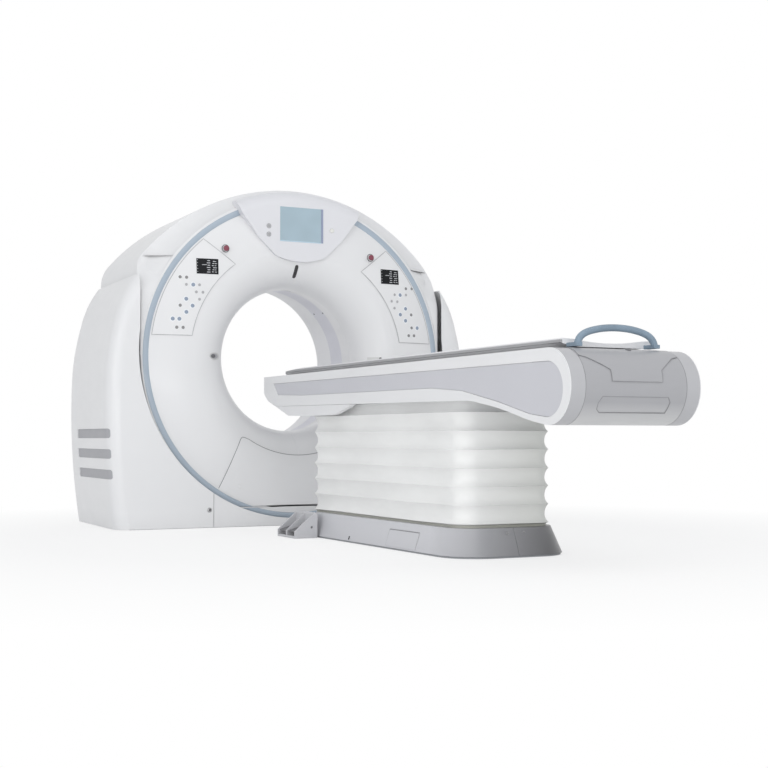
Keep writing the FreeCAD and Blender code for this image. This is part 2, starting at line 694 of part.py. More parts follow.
def rotor():
    hub = "bearing_inner - 0.05"
    back = "rotor_face + rotor_plate"
    node("rotor_frame", turned("rotor_frame", [
        ("hub_bore", "rotor_face"), ("rotor_radius - 10", "rotor_face"),
        ("rotor_radius - 10", "-rotor_front"), ("rotor_radius", "-rotor_front"),
        ("rotor_radius", back), (hub, back), (hub, "330"), ("hub_bore", "330")]))
    focus = "iso_height + focus_rise"
    node("xray_tube", rod("xray_tube", "tube_radius", "rotor_face + 130", ("0", "-130", focus), X_AXIS, -90))
    node("collimator", box("collimator", ("-80", "-60", focus + " - tube_radius - 45"),
                           ("160", "rotor_face + 60", "45")))
    node("slip_ring", turned("slip_ring", [
        (hub, "300"), ("640", "300"), ("640", "325"), (hub, "325")]))
    middle = VECTOR(0, -70, dim.iso_height + dim.focus_rise)
    long = dim.rotor_face + 70
    outer = Part.makeCylinder(dim.detector_radius, long, middle, Y_AXIS)
    inner = Part.makeCylinder(dim.detector_radius - dim.detector_deep, long, middle, Y_AXIS)
    reach = 1300
    spread = math.tan(math.radians(25)) * reach
    fan = Part.Face(Part.makePolygon([middle, middle + VECTOR(spread, 0, -reach),
                                      middle + VECTOR(-spread, 0, -reach), middle])).extrude(Y_AXIS * long)
    shape_node("detector_array", outer.cut(inner).common(fan))
    for name, low in (("high_voltage_unit", "-700"), ("cooling_unit", "500")):
        node(name, box(name, (low, "-70", "iso_height + 100"), ("200", "rotor_face + 70", "240")))


# ---------------------------------------------------------------- stand

def stand_solid(inset):
    """The right half of the stand as a solid block, drawn in by an inset."""
    def outline(depth, half):
        scale = half / dim.stand_half
        foot = dim.stand_foot_half * scale - inset
        waist, shoulder = dim.iso_height - 123, dim.iso_height + 207
        points = [VECTOR(300, depth, dim.cover_lift), VECTOR(foot, depth, dim.cover_lift),
                  VECTOR(half - inset, depth, waist), VECTOR(1028 * scale - inset, depth, shoulder),
                  VECTOR(924 * scale - inset, depth, dim.stand_top - inset),
                  VECTOR(300, depth, dim.stand_top - inset)]
        bulges = {1: 0.048, 2: 0.06, 3: 0.11}
        wire.normal = Y_AXIS
        return wire(points, bulges)

    front = outline(-dim.stand_front + inset, dim.stand_half)
    rear = outline(dim.stand_rear - inset, dim.stand_rear_half)
    block = Part.makeLoft([front, rear], True, True)
    edges = []
    for edge in block.Edges:
        middle = edge.valueAt((edge.FirstParameter + edge.LastParameter) / 2)
        flat = abs(edge.BoundBox.YMax - edge.BoundBox.YMin) < 1
        if flat and middle.x > 0.85 * dim.stand_half and middle.z > 20:
            edges.append(edge)
    return block.makeFillet(dim.stand_corner - inset, edges)


def cradle(grow=0):
    """The space the head tilts in, as the stand covers are cut: a round bottom, open above."""
    lift = dim.iso_height + dim.cradle_lift
    round_part = Part.makeCylinder(dim.cradle_radius + grow, 1400, VECTOR(0, -700, lift), Y_AXIS)
    half = dim.stand_inner + grow
    above = Part.makeBox(2 * half, 1400, 900, VECTOR(-half, -700, lift))
    return round_part.fuse(above)


def stand_covers():
    wall = dim.stand_wall
    block = stand_solid(0)
    inner = stand_solid(wall)
    inner = inner.fuse(inner.translated(VECTOR(0, 0, -20)))
    shell = block.cut(inner).cut(cradle())
    shell = shell.cut(Part.makeBox(dim.seam_offset, 1400, 1400, VECTOR(0, -700, -100)))
    tall = dim.vent_tall
    front = 22 - dim.stand_front
    behind = 0.85 * dim.stand_half
    for place_index in range(3):
        middle = dim.vent_rise - place_index * dim.vent_pitch
        hole = Part.makeBox(300, dim.vent_long, tall, VECTOR(behind, front, middle - tall / 2))
        ends = [edge for edge in hole.Edges if abs(edge.tangentAt(0).x) > 0.9]
        shell = shell.cut(hole.makeFillet(tall / 4, ends))
    shell = max(shell.Solids, key=lambda solid: solid.Volume)
    grille = inner.cut(stand_solid(wall + 4))
    low = dim.vent_rise - 2 * dim.vent_pitch - tall
    high = 2 * dim.vent_pitch + 2 * tall
    region = Part.makeBox(300, dim.vent_long + 20, high, VECTOR(behind, front - 10, low))
    grille = grille.common(region)
    for side, turn in (("left", mirrored), ("right", lambda shape: shape)):
        shape_node(side + "_side_cover", turn(shell))
        shape_node(side + "_vent_grille", turn(grille))
    half = dim.seam_offset - dim.seam_gap
    for name, depth in (("lower_front_cover", -dim.stand_front), ("lower_rear_cover", dim.stand_rear - wall)):
        plate = Part.makeBox(2 * half, wall, dim.iso_height / 2, VECTOR(-half, depth, dim.cover_lift))
        shape_node(name, plate.cut(cradle()))


def stand_frame():
    """The floor plate, an upright with a tilt bearing on each side, and the tilt drive."""
    front = "stand_front - stand_wall"
    deep = front + " + stand_rear - stand_wall"
    half = "upright_place + 40"
    plate = box("floor_plate_front", ("-(" + half + ")", "-(" + front + ")", "0"),
                ("2 * (" + half + ")", deep + " - 74", "floor_plate"))
    tail = "upright_place + 20"
    rear = box("floor_plate_rear", ("-(" + tail + ")", "stand_rear - stand_wall - 75", "0"),
               ("2 * (" + tail + ")", "75", "floor_plate"))
    beam = box("rear_beam", ("-(" + tail + ")", "stand_rear - 40", "floor_plate"),
               ("2 * (" + tail + ")", "30", "130"))
    node("base_frame", fused("base_weldment", plate, rear, beam))
    for side, low in (("left", "-upright_place - upright_thick"), ("right", "upright_place")):
        post = box(side + "_post", (low, "-160", "floor_plate"),
                   ("upright_thick", "320", "iso_height + 140 - floor_plate"))
        hole = rod(side + "_post_hole", "trunnion_bearing", "upright_thick + 20",
                   (low + " - 10", "0", "iso_height"), Y_AXIS, 90)
        node(side + "_upright", cut(side + "_bored_post", post, hole))
        outer = rod(side + "_bearing_outer", "trunnion_bearing", "upright_thick",
                    (low, "0", "iso_height"), Y_AXIS, 90)
        inner = rod(side + "_bearing_inner", "trunnion_radius + 0.05", "upright_thick + 20",
                    (low + " - 10", "0", "iso_height"), Y_AXIS, 90)
        node(side + "_tilt_bearing", cut(side + "_bearing_ring", outer, inner))
    outside = "-(upright_place + upright_thick"
    drive = box("drive_case", (outside + " + 52)", "-120", "iso_height - 120"), ("52", "240", "240"))
    socket = rod("drive_socket", "trunnion_radius + 0.05", "40", (outside + " + 35)", "0", "iso_height"),
                 Y_AXIS, 90)
    node("tilt_gearbox", cut("drive_body", drive, socket))
    node("power_unit", box("power_unit", ("upright_place + 5", "-360", "floor_plate"), ("70", "200", "520")))


# ---------------------------------------------------------------- couch base

def oval(half, front, foot, radius, height):
    """A rounded rectangle on the floor plan at a height."""
    points = [VECTOR(half, -front - radius, height), VECTOR(half, -foot + radius, height),
              VECTOR(half - radius, -foot, height), VECTOR(radius - half, -foot, height),
              VECTOR(-half, -foot + radius, height), VECTOR(-half, -front - radius, height),
              VECTOR(radius - half, -front, height), VECTOR(half - radius, -front, height)]
    wire.normal = Z_AXIS
    return wire(points, {1: QUARTER, 3: QUARTER, 5: QUARTER, 7: QUARTER})


def skirt_solid(inset, low, high):
    """The drafted block of the couch base, drawn in by an inset."""
    def at(height):
        share = height / dim.skirt_tall
        half = dim.skirt_half + (dim.skirt_top_half - dim.skirt_half) * share - inset
        front = dim.skirt_front - 10 * share + inset
        foot = dim.skirt_foot - 50 * share - inset
        return oval(half, front, foot, 170 - 20 * share - inset, height)
    return Part.makeLoft([at(low), at(high)], True, True)


def couch_base():
    wall = dim.skirt_wall
    foot = 8
    shell = skirt_solid(0, foot, dim.skirt_tall).cut(skirt_solid(wall, foot - 4, dim.skirt_tall - wall))
    window = Part.makeBox(360, 1300, 60, VECTOR(-180, -2560, dim.skirt_tall - 30))
    shell = shell.cut(window)
    for side, start in (("left", -600), ("right", 0.6)):
        half = Part.makeBox(599.4, 3000, 300, VECTOR(start, -4000, -50))
        shape_node(side + "_skirt", shell.common(half))
    door = skirt_solid(-2, foot, dim.skirt_tall).cut(skirt_solid(0, foot - 4, dim.skirt_tall + 4))
    shape_node("access_door", door.common(Part.makeBox(300, 276, 70, VECTOR(-400, -2320, 15))))

    wide, long = dim.column_wide / 2, dim.column_length / 2
    middle = -dim.column_place
    plate = skirt_solid(wall + 3, 0.0, dim.base_thick + 20)
    plate = plate.common(Part.makeBox(600, 3000, dim.base_thick, VECTOR(-300, -4000, 0)))
    lug = Part.makeBox(47, 60, 6, VECTOR(PEDAL_OUTER + dim.pedal_box_wide, -dim.pedal_box_front - 140, 0))

    def tube(inset, low, high):
        outer = Part.makeBox(2 * (wide - inset), 2 * (long - inset), high - low,
                             VECTOR(inset - wide, middle + inset - long, low))
        skin = inset + dim.column_wall
        inner = Part.makeBox(2 * (wide - skin), 2 * (long - skin), high - low + 2,
                             VECTOR(skin - wide, middle + skin - long, low - 1))
        return outer.cut(inner)

    step = dim.column_wall + dim.column_gap
    outer_tube = tube(0, dim.base_thick - 2, dim.base_thick + dim.column_tall)
    shape_node("lift_base", plate.fuse([outer_tube, lug]).removeSplitter())
    shape_node("lift_middle", tube(step, 240, 240 + dim.column_tall))
    return tube(2 * step, 450, 785)


def bellows():
    """The pleated cover round the lift: ridges with hollow valleys between."""
    ridges = int(dim.fold_count)
    first = dim.skirt_tall + dim.fold_first
    last = dim.bellows_top - dim.fold_last
    pitch = (last - first) / (ridges - 1)

    def ring(inset, height):
        return oval(dim.bellows_half - inset, dim.bellows_front + inset, dim.bellows_foot - inset,
                    dim.bellows_corner - inset, height)

    skins = []
    for inset in (0, dim.bellows_wall):
        levels = [ring(inset + dim.fold_depth / 2, dim.skirt_tall)]
        for fold in range(ridges):
            tip = first + fold * pitch
            levels.append(ring(inset, tip))
            levels.append(ring(inset + dim.fold_depth, min(tip + pitch / 2, dim.bellows_top - 6)))
        levels.append(ring(inset + dim.fold_depth, dim.bellows_top))
        skins.append(Part.makeLoft(levels, True, True))
    shape_node("bellows", skins[0].cut(skins[1]))


def foot_control():
    """The foot control on the floor beside the couch base, with two rocking pedals."""
    front = -dim.pedal_box_front
    long = dim.pedal_box_long
    outer = PEDAL_OUTER
    wide = dim.pedal_box_wide
    profile = [VECTOR(outer, front, 0), VECTOR(outer + wide, front, 0), VECTOR(outer + wide, front, 118),
               VECTOR(outer + wide - 14, front, 124), VECTOR(outer, front, 34)]
    side = Part.Face(Part.makePolygon(profile + profile[:1])).extrude(VECTOR(0, -long, 0))
    half = (long - 30) / 2
    for start in (front - 10 - half, front - 20 - 2 * half):
        side = side.cut(Part.makeBox(wide - 22, half, 130, VECTOR(outer - 1, start, 12)))
    hinge = VECTOR(outer + wide - 30, 0, 52)
    side = side.cut(Part.makeCylinder(6.05, long, hinge - Y_AXIS * (long - front), Y_AXIS))
    shape_node("pedal_box", side)
    for name, start in (("left_pedal", front - 20 - 2 * half + 3), ("right_pedal", front - 10 - half + 3)):
        plate = Part.makeBox(84, half - 6, 6, VECTOR(-84, start, -3))
        plate.rotate(VECTOR(0, 0, 0), Y_AXIS, -dim.pedal_tilt)
        plate.translate(hinge)
        axle = Part.makeCylinder(6, half + 8, hinge + Y_AXIS * (start - 7), Y_AXIS)
        shape_node(name, plate.fuse(axle).removeSplitter())


# ---------------------------------------------------------------- couch

DECK_FOOT = -3220    # foot edge of the deck between the end blocks
NOSE_LEDGE = 43      # depth of the ledge on top of the nose
NOSE_SHIFT = 38      # how much further back the hollow ends


def couch_outline():
    """Side view of the couch mouldings: corners (y, z) and the bulge at the foot."""
    rise, back, radius = dim.barrel_rise, -dim.barrel_place, dim.barrel_radius + 3
    nose = -dim.couch_nose
    points = [(nose, dim.couch_top), (nose - 30, 735), (nose - 105, 677), (nose - 232, 648),
              (-2719, dim.frame_under), (-2857, 618), (-3115, 570), (-3294, 535),
              (back, rise - radius), (back, rise + radius)]
    return [VECTOR(0, y, z) for y, z in points], {1: 0.12, 4: -0.05, 5: -0.03, 6: 0.03, 7: 0.04, 8: 1.0}


def side_block(half, inset):
    """The couch's side view as a solid, with the nose rounded in plan."""
    points, bulges = couch_outline()
    wire.normal = X_AXIS
    face = Part.Face(wire(points, bulges))
    if inset:
        face = Part.Face(face.OuterWire.makeOffset2D(-inset, 2))
    face.translate(VECTOR(-half, 0, 0))
    block = face.extrude(VECTOR(2 * half, 0, 0))
    nose = oval(half, dim.couch_nose + inset, 3700, 50 - inset, 400)
    return block.common(Part.Face(nose).extrude(VECTOR(0, 0, 600)))


def inlay_outline(grow):
    """Outline of the panel let into the side of the couch, round at the foot: corners (y, z)."""
    nose = -dim.couch_nose
    points = [(nose - 180, 766), (-3325, 757), (-3424, 658), (-3325, 560),
              (-3212, 572), (-2989, 622), (-2719, 671), (-2468, 689), (-1099, 697), (nose - 238, 708)]
    wire.normal = X_AXIS
    corners = wire([VECTOR(0, y, z) for y, z in points], {1: -QUARTER, 2: -QUARTER})
    if grow:
        corners = corners.makeOffset2D(grow, 2)
    return Part.Face(corners)


def couch_sides():
    """The two side mouldings of the couch, joined under the nose, with end blocks at the foot."""
    half = dim.couch_half
    inner = half - dim.frame_thick
    span = side_block(inner, 0)
    tall_span = span.fuse([span.translated(Z_AXIS * 60), span.translated(Z_AXIS * -60)])
    middle = Part.makeBox(2 * inner, 2640 - NOSE_SHIFT, 400, VECTOR(-inner, DECK_FOOT, 500))
    hollow = side_block(inner, 8).fuse(middle.common(tall_span))
    foot = Part.makeBox(2 * dim.barrel_seam, 500, 400, VECTOR(-dim.barrel_seam, -3600, 450))
    nose_back = -dim.couch_nose - NOSE_LEDGE
    nose_top = Part.makeBox(2 * inner, 200, 30, VECTOR(-inner, nose_back - 200, 790))
    nose_top = nose_top.common(side_block(inner, 8).translated(Z_AXIS * 20))
    whole = side_block(half, 0).cut(hollow).cut(foot).cut(nose_top)
    for side, sign in (("left", -1), ("right", 1)):
        region = Part.makeBox(500, 3500, 600, VECTOR(0.6 if sign > 0 else -500.6, -3800, 400))
        piece = whole.common(region)
        pocket = inlay_outline(dim.inlay_gap)
        start = half - dim.inlay_deep if sign > 0 else -half
        pocket.translate(VECTOR(start, 0, 0))
        piece = piece.cut(pocket.extrude(X_AXIS * dim.inlay_deep))
        piece = max(piece.Solids, key=lambda solid: solid.Volume)
        shape_node(side + "_couch_side", piece)
        panel = inlay_outline(0)
        panel.translate(VECTOR(half - dim.inlay_deep if sign > 0 else dim.inlay_deep - half, 0, 0))
        shape_node(side + "_side_panel", panel.extrude(X_AXIS * sign * dim.inlay_thick))


def belly_pan():
    """The pan under the nose, flush with the side mouldings and open round the bellows."""
    half = dim.belly_half
    nose = -dim.couch_nose
    points = [(nose - 107, 675.5), (-932, 597), (-1150, dim.belly_drop), (-1475, dim.belly_drop),
              (-1520, 598), (-1650, 626), (-1690, 639), (nose - 232, 647)]
    face = Part.Face(Part.makePolygon([VECTOR(-half, y, z) for y, z in points + points[:1]]))
    block = face.extrude(VECTOR(2 * half, 0, 0))
    inner = half - 23
    behind = Part.makeBox(2 * inner, 635, 90, VECTOR(-inner, -1705, 560))
    hollow = Part.makeBox(2 * inner, 110, 60, VECTOR(-inner, -1055, dim.belly_drop + 10))
    span = dim.couch_half - dim.frame_thick + 0.5
    floor = Part.makeBox(2 * span, 2500, 60, VECTOR(-span, nose - 2659.5, dim.bellows_top - 0.3))
    shape_node("belly_pan", block.cut(behind).cut(hollow).cut(floor))


def couch_frame(column):
    """The carrier on the lift column: a floor with a window for the lift, two webs, a head plate."""
    half = dim.couch_half - dim.frame_thick
    low = dim.bellows_top
    floor = Part.makeBox(2 * half, 2500, 12, VECTOR(-half, -3215, low))
    wide, long = dim.column_wide / 2 + 12, dim.column_length / 2 + 12
    floor = floor.cut(Part.makeBox(2 * wide, 2 * long, 40, VECTOR(-wide, -dim.column_place - long, low - 10)))
    floor = floor.common(side_block(half, 0))
    webs = [Part.makeBox(12, 2400, dim.deck_place - low, VECTOR(x, -3180, low)) for x in (-192, 180)]
    head = Part.makeBox(360, 900, 12, VECTOR(-180, -dim.column_place - 450, 785))
    frame = floor.fuse(webs + [head, column])
    shape_node("couch_frame", frame.removeSplitter())


def couch_deck():
    """The deck between the side mouldings, with the rails that the tabletop runs on."""
    half = dim.couch_half - dim.frame_thick - 0.5
    front = -dim.couch_nose - NOSE_LEDGE - 0.5
    foot = DECK_FOOT + 0.5
    low = dim.deck_place
    slab = Part.makeBox(2 * half, front - foot, dim.deck_thick, VECTOR(-half, foot, low))
    nose = Part.Face(oval(half, dim.couch_nose + 9, 3700, 44, low)).extrude(Z_AXIS * dim.deck_thick)
    narrow = dim.barrel_seam - 0.5
    tongue = Part.makeBox(2 * narrow, 40, dim.deck_thick, VECTOR(-narrow, foot - 30, low))
    rails = []
    for x in (-140, 110):
        rails.append(Part.makeBox(30, 3200 + front - 20, dim.top_under - low - dim.deck_thick,
                                  VECTOR(x, -3200, low + dim.deck_thick)))
    shape_node("couch_deck", slab.common(nose).fuse([tongue] + rails).removeSplitter())


def foot_end():
    """The barrel across the foot of the couch and the lid on it."""
    radius = dim.barrel_radius + 3
    half = dim.barrel_seam - 0.8

    def roll(size, width):
        return Part.makeCylinder(size, width, VECTOR(-width / 2, -dim.barrel_place, dim.barrel_rise), X_AXIS)

    outer = roll(radius, 2 * half)
    inner = roll(radius - dim.barrel_wall, 2 * half + 10)
    ahead = Part.makeBox(600, 400, 400, VECTOR(-300, -dim.barrel_place + 80, 450))
    corners = [(-158, 584), (-142, 572), (148, 572), (152, 610), (141, 630), (-146, 630), (-160, 606)]
    recess = Part.Face(Part.makePolygon([VECTOR(x, -3600, z) for x, z in corners + corners[:1]]))
    recess = recess.extrude(Y_AXIS * 250).cut(roll(radius - 1.5, 2 * half))
    shape_node("foot_barrel", outer.cut(inner).cut(ahead).cut(recess))
    points = [(-216, 775), (-193, 769), (-108, 726), (-109, 684), (111, 684), (115, 729), (188, 774),
              (216, 780), (216, 900), (-216, 900)]
    lid = [VECTOR(x, -3600, z) for x, z in points + [points[0]]]
    space = Part.Face(Part.makePolygon(lid)).extrude(Y_AXIS * (3600 - dim.barrel_place - 5))
    skin = roll(radius + 2.5, 2 * half).cut(roll(radius + 0.3, 2 * half + 10))
    top = Part.makeBox(600, 300, 40, VECTOR(-300, -3500, 806.2))
    shape_node("barrel_lid", skin.common(space).cut(top))


def tabletop():
    """The dished tabletop with its rounded, thinned nose."""
    half, low, thick = dim.top_half, dim.top_under, dim.top_thick
    front, foot = -dim.top_nose, -dim.top_foot
    points = [VECTOR(-160, 0, low), VECTOR(160, 0, low), VECTOR(half, 0, low + 14),
              VECTOR(half, 0, low + thick - 4), VECTOR(half - 6, 0, low + thick),
              VECTOR(150, 0, low + thick - 3), VECTOR(-150, 0, low + thick - 3),
              VECTOR(6 - half, 0, low + thick), VECTOR(-half, 0, low + thick - 4), VECTOR(-half, 0, low + 14)]
    wire.normal = VECTOR(0, -1, 0)
    face = Part.Face(wire(points, {5: dim.top_dish / 150}))
    face.translate(VECTOR(0, foot, 0))
    board = face.extrude(Y_AXIS * (front - foot))
    plan = Part.Face(oval(half, -front, 3290 + 200, 150, low - 20)).extrude(Z_AXIS * 100)
    thinning = [(front + 5, low + 2), (front + 5, low + 13), (front - 360, low + thick + 2),
                (foot - 5, low + thick + 2), (foot - 5, low - 2), (front - 360, low - 2)]
    thinning = [VECTOR(-400, y, z) for y, z in thinning + thinning[:1]]
    rise = Part.Face(Part.makePolygon(thinning)).extrude(X_AXIS * 800)
    shape_node("tabletop", board.common(plan).common(rise))


def handle():
    """The arched handle at the foot of the tabletop, on two brackets."""
    half, rise, radius = dim.handle_half, dim.handle_rise, dim.handle_radius
    place_y = -dim.handle_place
    base = dim.top_under + 2
    points = [VECTOR(-half, place_y, base), VECTOR(-half + 12, place_y, base + 28),
              VECTOR(-half + 70, place_y, base + 56), VECTOR(0, place_y, base + rise - 8),
              VECTOR(half - 70, place_y, base + 56), VECTOR(half - 12, place_y, base + 28),
              VECTOR(half, place_y, base)]
    curve = Part.BSplineCurve()
    curve.interpolate(points)
    path = Part.Wire([curve.toShape()])
    ring = Part.Wire([Part.Circle(points[0], curve.tangent(curve.FirstParameter)[0], radius).toShape()])
    bar = path.makePipeShell([ring], True, False)
    feet = []
    for sign in (-1, 1):
        low = VECTOR(sign * half - 13, place_y - 14, base - 4)
        feet.append(Part.makeBox(26, -dim.top_foot - place_y + 14, 14, low))
    shape_node("handle", bar.fuse(feet))


# ---------------------------------------------------------------- assembly

front_cover()
trim_ring()
front_sill()
outer_shell()
rear_cover()
bore()
display()
panels()
estops()
service_panel()
head_frame()
head_fixed()
rotor()
stand_covers()
stand_frame()
lift_column = couch_base()
bellows()
foot_control()
couch_sides()
belly_pan()
couch_frame(lift_column)
couch_deck()
foot_end()
tabletop()
handle()

document.recompute()
for thing in document.Objects:
    if {"Invalid", "Error"} & set(thing.State):
        raise RuntimeError("%s is %s" % (thing.Label, thing.State))
for name, thing in nodes.items():
    if thing.Shape.isNull() or not thing.Shape.isValid():
        raise RuntimeError("the shape of %s is not sound" % name)

os.makedirs("parts", exist_ok=True)
for name, thing in nodes.items():
    thing.Shape.exportStep("parts/%s.step" % name)
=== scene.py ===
import math

import bmesh
import bpy
from mathutils import Matrix, Vector, noise


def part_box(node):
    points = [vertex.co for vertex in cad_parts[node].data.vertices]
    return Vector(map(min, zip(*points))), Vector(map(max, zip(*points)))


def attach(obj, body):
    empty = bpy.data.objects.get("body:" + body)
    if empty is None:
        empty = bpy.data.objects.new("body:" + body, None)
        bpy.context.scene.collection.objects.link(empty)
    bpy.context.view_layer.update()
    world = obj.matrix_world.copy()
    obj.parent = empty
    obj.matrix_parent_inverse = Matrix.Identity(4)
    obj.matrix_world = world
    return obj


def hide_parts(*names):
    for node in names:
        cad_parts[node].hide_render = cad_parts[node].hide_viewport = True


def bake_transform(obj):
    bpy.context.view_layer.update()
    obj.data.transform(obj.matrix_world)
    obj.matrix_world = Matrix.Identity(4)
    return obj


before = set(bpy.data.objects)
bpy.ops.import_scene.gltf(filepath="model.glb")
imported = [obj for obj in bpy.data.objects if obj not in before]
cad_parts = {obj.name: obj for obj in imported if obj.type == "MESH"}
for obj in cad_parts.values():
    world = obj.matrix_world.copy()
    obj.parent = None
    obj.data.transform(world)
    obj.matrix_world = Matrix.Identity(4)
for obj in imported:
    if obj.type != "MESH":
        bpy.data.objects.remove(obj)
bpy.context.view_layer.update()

# ---------------------------------------------------------------- sizes, in metres
# x runs across the gantry, y along the bore from the couch to the rear, z up from the floor.

ISO = 0.923                         # height of the bore axis
TABLE_HALF, _, TABLE_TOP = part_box("tabletop")[1]

# front cover: a shallow dome inside the blue ring, rolled over a wide lip into the bore
RING_INNER, RING_SEAT = 0.855, 0.0005
FACE_BULGE = 0.035
APEX_RADIUS, APEX_Y = 0.600, -0.405
LIP_CURVE = 0.200
DOME_REACH = RING_INNER - RING_SEAT - APEX_RADIUS
DOME_RADIUS = (DOME_REACH ** 2 + FACE_BULGE ** 2) / (2 * FACE_BULGE)

# places where one piece changes colour
BLOCK_HALF, BLOCK_Y, BLOCK_FADE = 0.2815, -3.2190, 0.0005    # grey blocks at the couch's foot
BELLY_LOW, BELLY_HIGH = 0.540, 0.610                        # painted bounce light from the floor on the barrel's underside
FOOT_SHADE_START, FOOT_SHADE_END = 2.10, 2.85                         # painted shade, way round to the foot of the base
CLOTH_START, CLOTH_END = 2.40, 2.90                         # painted shade, way round to the foot of the bellows
CLOTH_LOW, CLOTH_HIGH = 0.1285, 0.1325                      # painted shade band under the lowest ridge of the bellows
SCUFF_HIGH = 0.09                                           # dirt comes up to here

# ---------------------------------------------------------------- materials


def nodes_of(name):
    material = bpy.data.materials.new(name)
    material.use_nodes = True
    tree = material.node_tree
    tree.nodes.clear()
    out = tree.nodes.new("ShaderNodeOutputMaterial")
    shader = tree.nodes.new("ShaderNodeBsdfPrincipled")
    tree.links.new(shader.outputs[0], out.inputs[0])
    return material, tree, shader


def noise_node(tree, scale, detail=3.0, stretch=(1, 1, 1)):
    place = tree.nodes.new("ShaderNodeTexCoord")
    mapping = tree.nodes.new("ShaderNodeMapping")
    mapping.inputs["Scale"].default_value = stretch
    texture = tree.nodes.new("ShaderNodeTexNoise")
    texture.inputs["Scale"].default_value = scale
    texture.inputs["Detail"].default_value = detail
    tree.links.new(place.outputs["Object"], mapping.inputs[0])
    tree.links.new(mapping.outputs[0], texture.inputs["Vector"])
    return texture


def ranged(tree, socket, low, high, start=0.3, end=0.7):
    """Low to high while the socket's value goes from start to end."""
    node = tree.nodes.new("ShaderNodeMapRange")
    node.inputs["From Min"].default_value = start
    node.inputs["From Max"].default_value = end
    node.inputs["To Min"].default_value = low
    node.inputs["To Max"].default_value = high
    tree.links.new(socket, node.inputs["Value"])
    return node.outputs["Result"]


def mixed(tree, factor, first, second):
    """A mix of two colours, each a tuple or a socket."""
    node = tree.nodes.new("ShaderNodeMix")
    node.data_type = "RGBA"
    tree.links.new(factor, node.inputs["Factor"])
    for socket, colour in ((node.inputs[6], first), (node.inputs[7], second)):
        if isinstance(colour, tuple):
            socket.default_value = (*colour, 1)
        else:
            tree.links.new(colour, socket)
    return node.outputs[2]


def figured(tree, operation, first, second):
    """The result of a sum on two values, each a number or a socket."""
    node = tree.nodes.new("ShaderNodeMath")
    node.operation = operation
    for socket, source in zip(node.inputs, (first, second)):
        if isinstance(source, (int, float)):
            socket.default_value = source
        else:
            tree.links.new(source, socket)
    return node.outputs[0]


def bumped(tree, shader, sockets):
    """Chain of bumps: (height socket, strength, distance)."""
    last = None
    for height, strength, distance in sockets:
        bump = tree.nodes.new("ShaderNodeBump")
        bump.inputs["Strength"].default_value = strength
        bump.inputs["Distance"].default_value = distance
        tree.links.new(height, bump.inputs["Height"])
        if last is not None:
            tree.links.new(last, bump.inputs["Normal"])
        last = bump.outputs[0]
    tree.links.new(last, shader.inputs["Normal"])


def shade(colour, factor):
    return tuple(min(1.0, channel * factor) for channel in colour)


def mottled(tree, texture, colour, darker, lighter, start=0.3, end=0.7):
    """The colour between two shades of itself, by a noise texture."""
    share = ranged(tree, texture.outputs["Fac"], 0.0, 1.0, start, end)
    return mixed(tree, share, shade(colour, darker), shade(colour, lighter))


def roughened(tree, shader, texture, low, high):
    tree.links.new(ranged(tree, texture.outputs["Fac"], low, high), shader.inputs["Roughness"])


def axes_of(tree):
    place = tree.nodes.new("ShaderNodeTexCoord")
    split = tree.nodes.new("ShaderNodeSeparateXYZ")
    tree.links.new(place.outputs["Object"], split.inputs[0])
    return split.outputs


def way_round(tree, x, y):
    """Grows from the side of the couch in view round to its foot end."""
    return figured(tree, "SUBTRACT", figured(tree, "MULTIPLY", x, 1.2), y)


def foot_block(tree):
    """1 on the grey end blocks at the foot of the couch, 0 on its white mouldings."""
    x, y, _ = axes_of(tree)
    across = figured(tree, "ABSOLUTE", x, 0)
    inner = ranged(tree, across, 1.0, 0.0, BLOCK_HALF, BLOCK_HALF + BLOCK_FADE)
    behind = ranged(tree, y, 0.0, 1.0, BLOCK_Y, BLOCK_Y - BLOCK_FADE)
    return figured(tree, "MULTIPLY", inner, behind)


def painted_bounce_on_barrel(tree):
    """Painted bounce light from the floor on the barrel's underside, across the foot of the couch.
    """
    return ranged(tree, axes_of(tree)[2], 1.0, 0.0, BELLY_LOW, BELLY_HIGH)


def painted_board_side_shade(tree):
    """Painted shade on the upright sides of the tabletop, in a band below its top edge."""
    x, _, z = axes_of(tree)
    across = figured(tree, "ABSOLUTE", x, 0)
    outer = ranged(tree, across, 0.0, 1.0, TABLE_HALF - 0.009, TABLE_HALF - 0.006)
    below = ranged(tree, z, 1.0, 0.0, TABLE_TOP - 0.008, TABLE_TOP - 0.003)
    above = ranged(tree, z, 0.0, 1.0, TABLE_TOP - 0.030, TABLE_TOP - 0.024)
    return figured(tree, "MULTIPLY", outer, figured(tree, "MULTIPLY", below, above))


def painted_foot_shade(tree):
    """Painted shade on the foot end of the couch base, which faces away from the light."""
    x, y, _ = axes_of(tree)
    return ranged(tree, way_round(tree, x, y), 0.0, 1.0, FOOT_SHADE_START, FOOT_SHADE_END)


def plastic(name, colour, rough=0.38, coat=0.15, peel=0.05, scuff=False, grain=700,
            change=None, second=None):
    """Moulded and lacquered plastic: faint unevenness in colour and gloss, a fine
    orange peel and, with scuff, a trace of dirt where it comes near the floor.
    A change function says where the piece takes its second colour; on the barrel this is painted
    bounce light, on the tabletop's sides and the base's foot end painted shade."""
    material, tree, shader = nodes_of(name)
    tone = mottled(tree, noise_node(tree, 1.7, 4), colour, 0.98, 1.012)
    if scuff:
        low = ranged(tree, axes_of(tree)[2], 0.16, 0.0, 0.0, SCUFF_HIGH)
        tone = mixed(tree, low, tone, shade(colour, 0.62))
    if change:
        tone = mixed(tree, change(tree), tone, second)
    tree.links.new(tone, shader.inputs["Base Color"])
    roughened(tree, shader, noise_node(tree, 9.0, 5, (1, 1, 2.5)), rough - 0.05, rough + 0.07)
    shader.inputs["Coat Weight"].default_value = coat
    shader.inputs["Coat Roughness"].default_value = 0.12
    fine = noise_node(tree, grain, 2)
    bumped(tree, shader, [(fine.outputs["Fac"], peel, 0.0004)])
    return material


